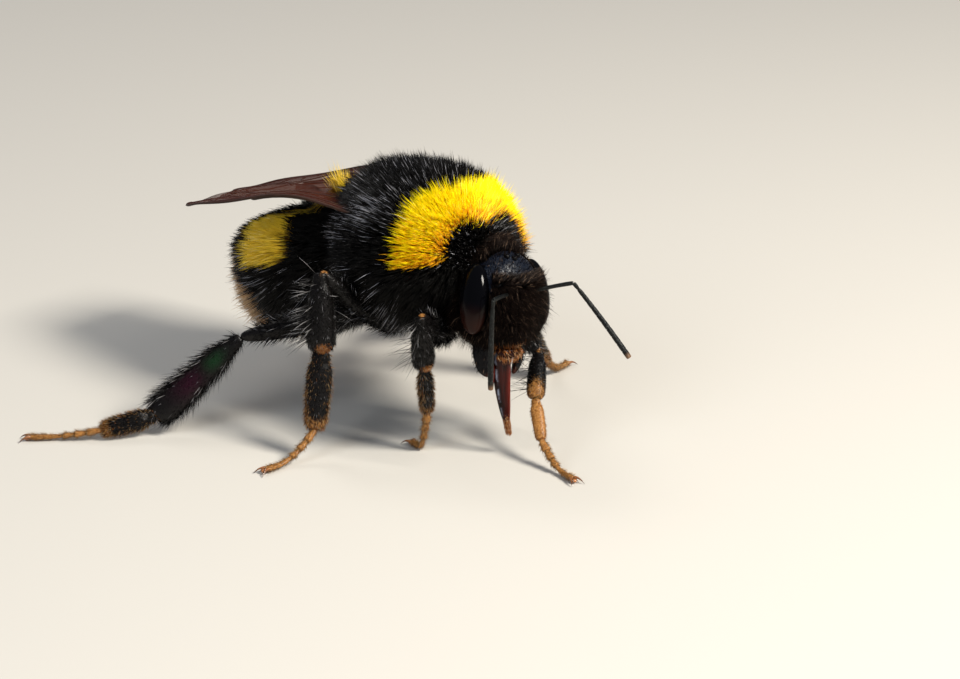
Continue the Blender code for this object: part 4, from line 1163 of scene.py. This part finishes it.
leg_coats = {"black": [], "brown": [], "golden": [], "fringe": []}
rng = np.random.default_rng(23)
for number, (name, joints) in enumerate(LEGS.items()):
    pair, half = name.split("_")
    leg = Leg(number, dict(SIDES)[half])
    coxa, knee, ankle, heel = (bee(*place) for place in joints[:4])
    toe = bee(*joints[4], TOE_HEIGHT)
    light = name == "fore_left"       # a slimmer, paler leg
    slim = 0.85 if light else 1.0
    trim = 0.5 if light else 1.0      # its hair is shorter too
    femur_size, tibia_size, first_size = slim * np.array(JOINT_SIZES[pair])
    outer = unit((knee - coxa) * (1, 1, 0))
    trochanter = coxa + outer * TROCHANTER[0] + (0, 0, TROCHANTER[1])
    forward, out, up = FLAT_FACES.get(name, FLAT_FACES.get(pair))
    flat = unit(np.array([-leg.sign * out, -forward, up]))

    femur = leg_joint(coxa, knee, femur_size, np.cross(outer, (0, 0, 1)), trochanter)
    share = femur[2][:, None]
    leg.add(femur, amber=(0.0 if pair == "hind" else 0.7) * soft_step(share, 0.95, 1.0))
    above_knee = 1 - soft_step(share, 0.84, 0.95)
    leg.clothe(femur, FEMUR_HAIRS, 0.03 + above_knee, trim * (0.36 + 0.25 * edge), LEG_LIFT, "black")
    leg.bristle(femur, BRISTLES[pair][0], above_knee, 0.8, 40.0)

    tibia = leg_joint(knee, ankle, tibia_size, flat, None, TIBIA_SWELL[pair], 4.0, 0.2)
    if pair == "hind":
        leg.add(tibia, amber=0.4 * soft_step(share, 0.97, 1.0),
                # Painted sheen: green on the middle of the basket's face near the knee, violet further down.
                green=middle_strip * hump((share - 0.3) / 0.1),
                violet=facing ** 2 * hump((share - 0.58) / 0.16))
        leg.clothe(tibia, TIBIA_HAIRS[pair], 0.12 + edge ** 2 + 0.5 * (np.sin(around) < -0.2),
                   0.2 + 0.3 * edge, 30.0, "black")
        leg.bristle(tibia, BRISTLES[pair][1], edge ** 2 * soft_step(share, 0.05, 0.3), 0.75, 36.0)
    else:
        rear = (np.cos(around) * np.cross(ankle - knee, flat)[1] > 0) * edge
        paler = 0.8 * soft_step(share, 0.4, 1.0) if light else soft_step(share, 0.86, 0.95)
        patches = 0.35 * (1 - soft_step(share, 0.02, 0.07)) + 0.85 * paler
        leg.add(tibia, amber=patches * (0.85 * light + facing ** 9))
        leg.clothe(tibia, TIBIA_HAIRS[pair], 1.0 - paler * (1.0 if light else 0.8 * middle_strip),
                   trim * 0.2, 28.0, "black")
        leg.clothe(tibia, PATCH_HAIRS, paler * facing ** 9, 0.1 if light else 0.17, 70.0,
                   "brown" if light else "golden")
        leg.bristle(tibia, BRISTLES[pair][1], (rear + 0.03) * (1 - soft_step(share, 0.75, 0.95)),
                    1.25, 70.0)

    first = leg_joint(ankle, heel, first_size, flat, None, -0.15, 4.0, 0.25)
    # On the paler leg the metatarsus is darker towards its top: painted shade.
    paler = (1.0 - 0.45 * (1 - share) ** 2) * light
    leg.add(first, amber=np.clip(paler + 0.5 * edge * share + 0.7 * soft_step(share, 0.75, 1.0), 0, 1))
    black, brown, golden = PALE_METATARSUS_HAIRS if light else METATARSUS_HAIRS
    leg.clothe(first, black, 1.0, trim * 0.2, LEG_LIFT, "black", 0.013)
    leg.clothe(first, brown, 0.1 + edge + soft_step(share, 0.7, 1.0), trim * (0.2 + 0.08 * edge),
               LEG_LIFT, "brown", 0.013)
    leg.clothe(first, golden, edge * share + 2 * soft_step(share, 0.75, 1.0), trim * 0.24,
               LEG_LIFT, "golden", 0.013)

    foot, travelled = foot_line(heel, toe)
    for small, wide in enumerate(FOOT_WIDTHS):
        share = stations(24)
        at = FOOT_ENDS[small] + (FOOT_ENDS[small + 1] - FOOT_ENDS[small]) * (share * 1.12 - 0.06)
        path = np.stack([np.interp(at, travelled, foot[:, axis]) for axis in range(3)], -1)
        profile = round_ends(share, 4) * (0.62 + 0.45 * share ** 1.5)
        joint = swept(path, wide * profile, wide * 0.8 * profile, (0, 0, 1)), path, share
        joint[0][..., 2] = np.maximum(joint[0][..., 2], 0.0)
        leg.add(joint, amber=0.8 - 0.2 * (small == 3) * share[:, None])
        leg.clothe(joint, FOOT_HAIRS[small], 1.0, 0.2, LEG_LIFT, "brown", 0.012)

    body = closed_forms(f"leg_{name}", leg.grids, leg_finish, **leg.tints)
    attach(body, "root")
    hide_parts(f"femur_{name}", f"tibia_{name}", f"metatarsus_{name}", f"tarsus_{name}")

brown_hair = hair_finish("brown_hair", (0.03, 0.010, 0.002), (0.34, 0.17, 0.04),
                         (0.9, 0.66, 0.34), 0.3, pale_from=0.75)
# Almost half the bristles get a pale tip: painted glints along the fringe.
fringe_hair = hair_finish("fringe_hair", (0.004, 0.004, 0.004), (0.02, 0.018, 0.018),
                          (0.7, 0.68, 0.68), 0.2, pale_from=0.55)
LEG_HAIR = {                      # finish and slot
    "black": (black_hair, "black_coat"), "brown": (brown_hair, "brown_leg_coat"),
    "golden": (orange_hair, "brown_leg_coat"), "fringe": (fringe_hair, "black_coat"),
}
for colour, coats in leg_coats.items():
    finish, slot = LEG_HAIR[colour]
    for name, sign in SIDES:
        chosen = [coat for owner, coat in coats if owner == sign]
        parts = [np.concatenate(part) for part in zip(*chosen)]
        for places in parts[:3]:
            places[:, 2] = np.maximum(places[:, 2], FLOOR_GAP)
        coat = hairs(f"coat_legs_{colour}_{name}", *parts, finish, colour == "fringe")
        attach(coat, "root")

# ---------------------------------------------------------------- claws
# Each foot ends in two hooked claws, each with a smaller inner tooth, and a soft pad between them.
CLAW_LENGTH = 0.62
CLAW_SPREAD = 36                  # heading of a claw from the foot's own, degrees
CLAW_TEETH = ((1.0, 0.15, 0.0, 0.015), (0.62, 0.11, -0.09, 0.06))   # reach, thickness, aside, tip height
PAD_RADII = (0.13, 0.13, 0.1)

claw_finish = Finish("claw", Roughness=0.2, Coat_Weight=0.5, Coat_Roughness=0.1)
claw_finish.paint(Base_Color=claw_finish.mix(claw_finish.attribute("amber"), (0.03, 0.012, 0.006),
                                             (0.35, 0.13, 0.04)))
claw_finish.bump(claw_finish.noise(0.05, 2), 0.01)

share = stations(20)
spread = math.radians(CLAW_SPREAD)
for name, joints in LEGS.items():
    heel, toe = bee(*joints[3]), bee(*joints[4], TOE_HEIGHT)
    heading = unit((toe - heel) * (1, 1, 0))
    sideways = np.cross((0, 0, 1), heading)
    forms, ambers = [], []
    for sign in (-1, 1):
        out = heading * math.cos(spread) + sideways * sign * math.sin(spread)
        for reach, thick, aside, height in CLAW_TEETH:     # from inside the foot, up and over to a point
            start = toe - heading * 0.12 + sideways * sign * (0.09 + aside * 0.5) + (0, 0, 0.02)
            end = toe + out * CLAW_LENGTH * reach + sideways * sign * aside
            end = end * (1, 1, 0) + (0, 0, height)
            path = bow(start, (start + end) / 2 + (0, 0, 0.24), end, share)
            slim = thick * np.sqrt(np.clip(share * 12, 0, 1)) * (1 - share) ** 0.7
            forms.append(swept(path, slim, slim, sideways, 12))
            ambers.append((1 - share)[:, None])
    forms.append(toe + heading * 0.12 + ball(14, 20)[..., [1, 0, 2]] * PAD_RADII - (0, 0, 0.06))
    ambers.append(1.0)
    claws = closed_forms(f"claws_{name}", forms, claw_finish, amber=ambers)
    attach(claws, "root")
    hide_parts(f"tarsus_{name}")

# ---------------------------------------------------------------- floor and light
# A plain pale floor under a dim cool sky, a warm key light high on the camera's right, a weak cool one
# on its left and a weak one behind the bee.
FLOOR_SIZE = 800
LIT_HEIGHT = 7.0                  # the lamps look at the bee's middle, this far above the floor

floor_finish = Finish("floor", Base_Color=(0.55, 0.525, 0.48), Roughness=0.85)
corners = np.array([(-1, -1, 0), (1, -1, 0), (1, 1, 0), (-1, 1, 0)]) * FLOOR_SIZE / 2
floor = put("floor", corners, np.arange(4), np.array([0]), floor_finish)

world = bpy.data.worlds.new("studio")
world.use_nodes = True
sky = world.node_tree.nodes["Background"].inputs
sky["Color"].default_value = (0.80, 0.86, 1.0, 1)
sky["Strength"].default_value = 0.22
bpy.context.scene.world = world
bpy.context.scene.view_settings.view_transform = "Standard"


def lamp(name, heading, height, distance, size, power, colour, shines=True):
    """A square soft light that looks at the middle of the bee from a heading round it and a height
    above the horizon, both in degrees; one that doesn't shine leaves no highlight."""
    light = bpy.data.lights.new(name, "AREA")
    light.size = size * MM
    light.energy = power
    light.color = colour
    made = bpy.data.objects.new(name, light)
    heading, height = math.radians(heading), math.radians(height)
    away = np.array([math.sin(heading) * math.cos(height), -math.cos(heading) * math.cos(height),
                     math.sin(height)])
    made.location = (np.array([0, 0, LIT_HEIGHT]) + away * distance) * MM
    made.rotation_euler = (math.pi / 2 - height, 0, heading)
    made.visible_glossy = shines
    bpy.context.scene.collection.objects.link(made)


lamp("key", 12, 42, 220, 62, 0.86, (1.0, 0.95, 0.86))
lamp("fill", -85, 35, 260, 120, 0.25, (0.88, 0.94, 1.0), False)
lamp("back", 170, 50, 260, 90, 0.12, (1.0, 0.97, 0.92))
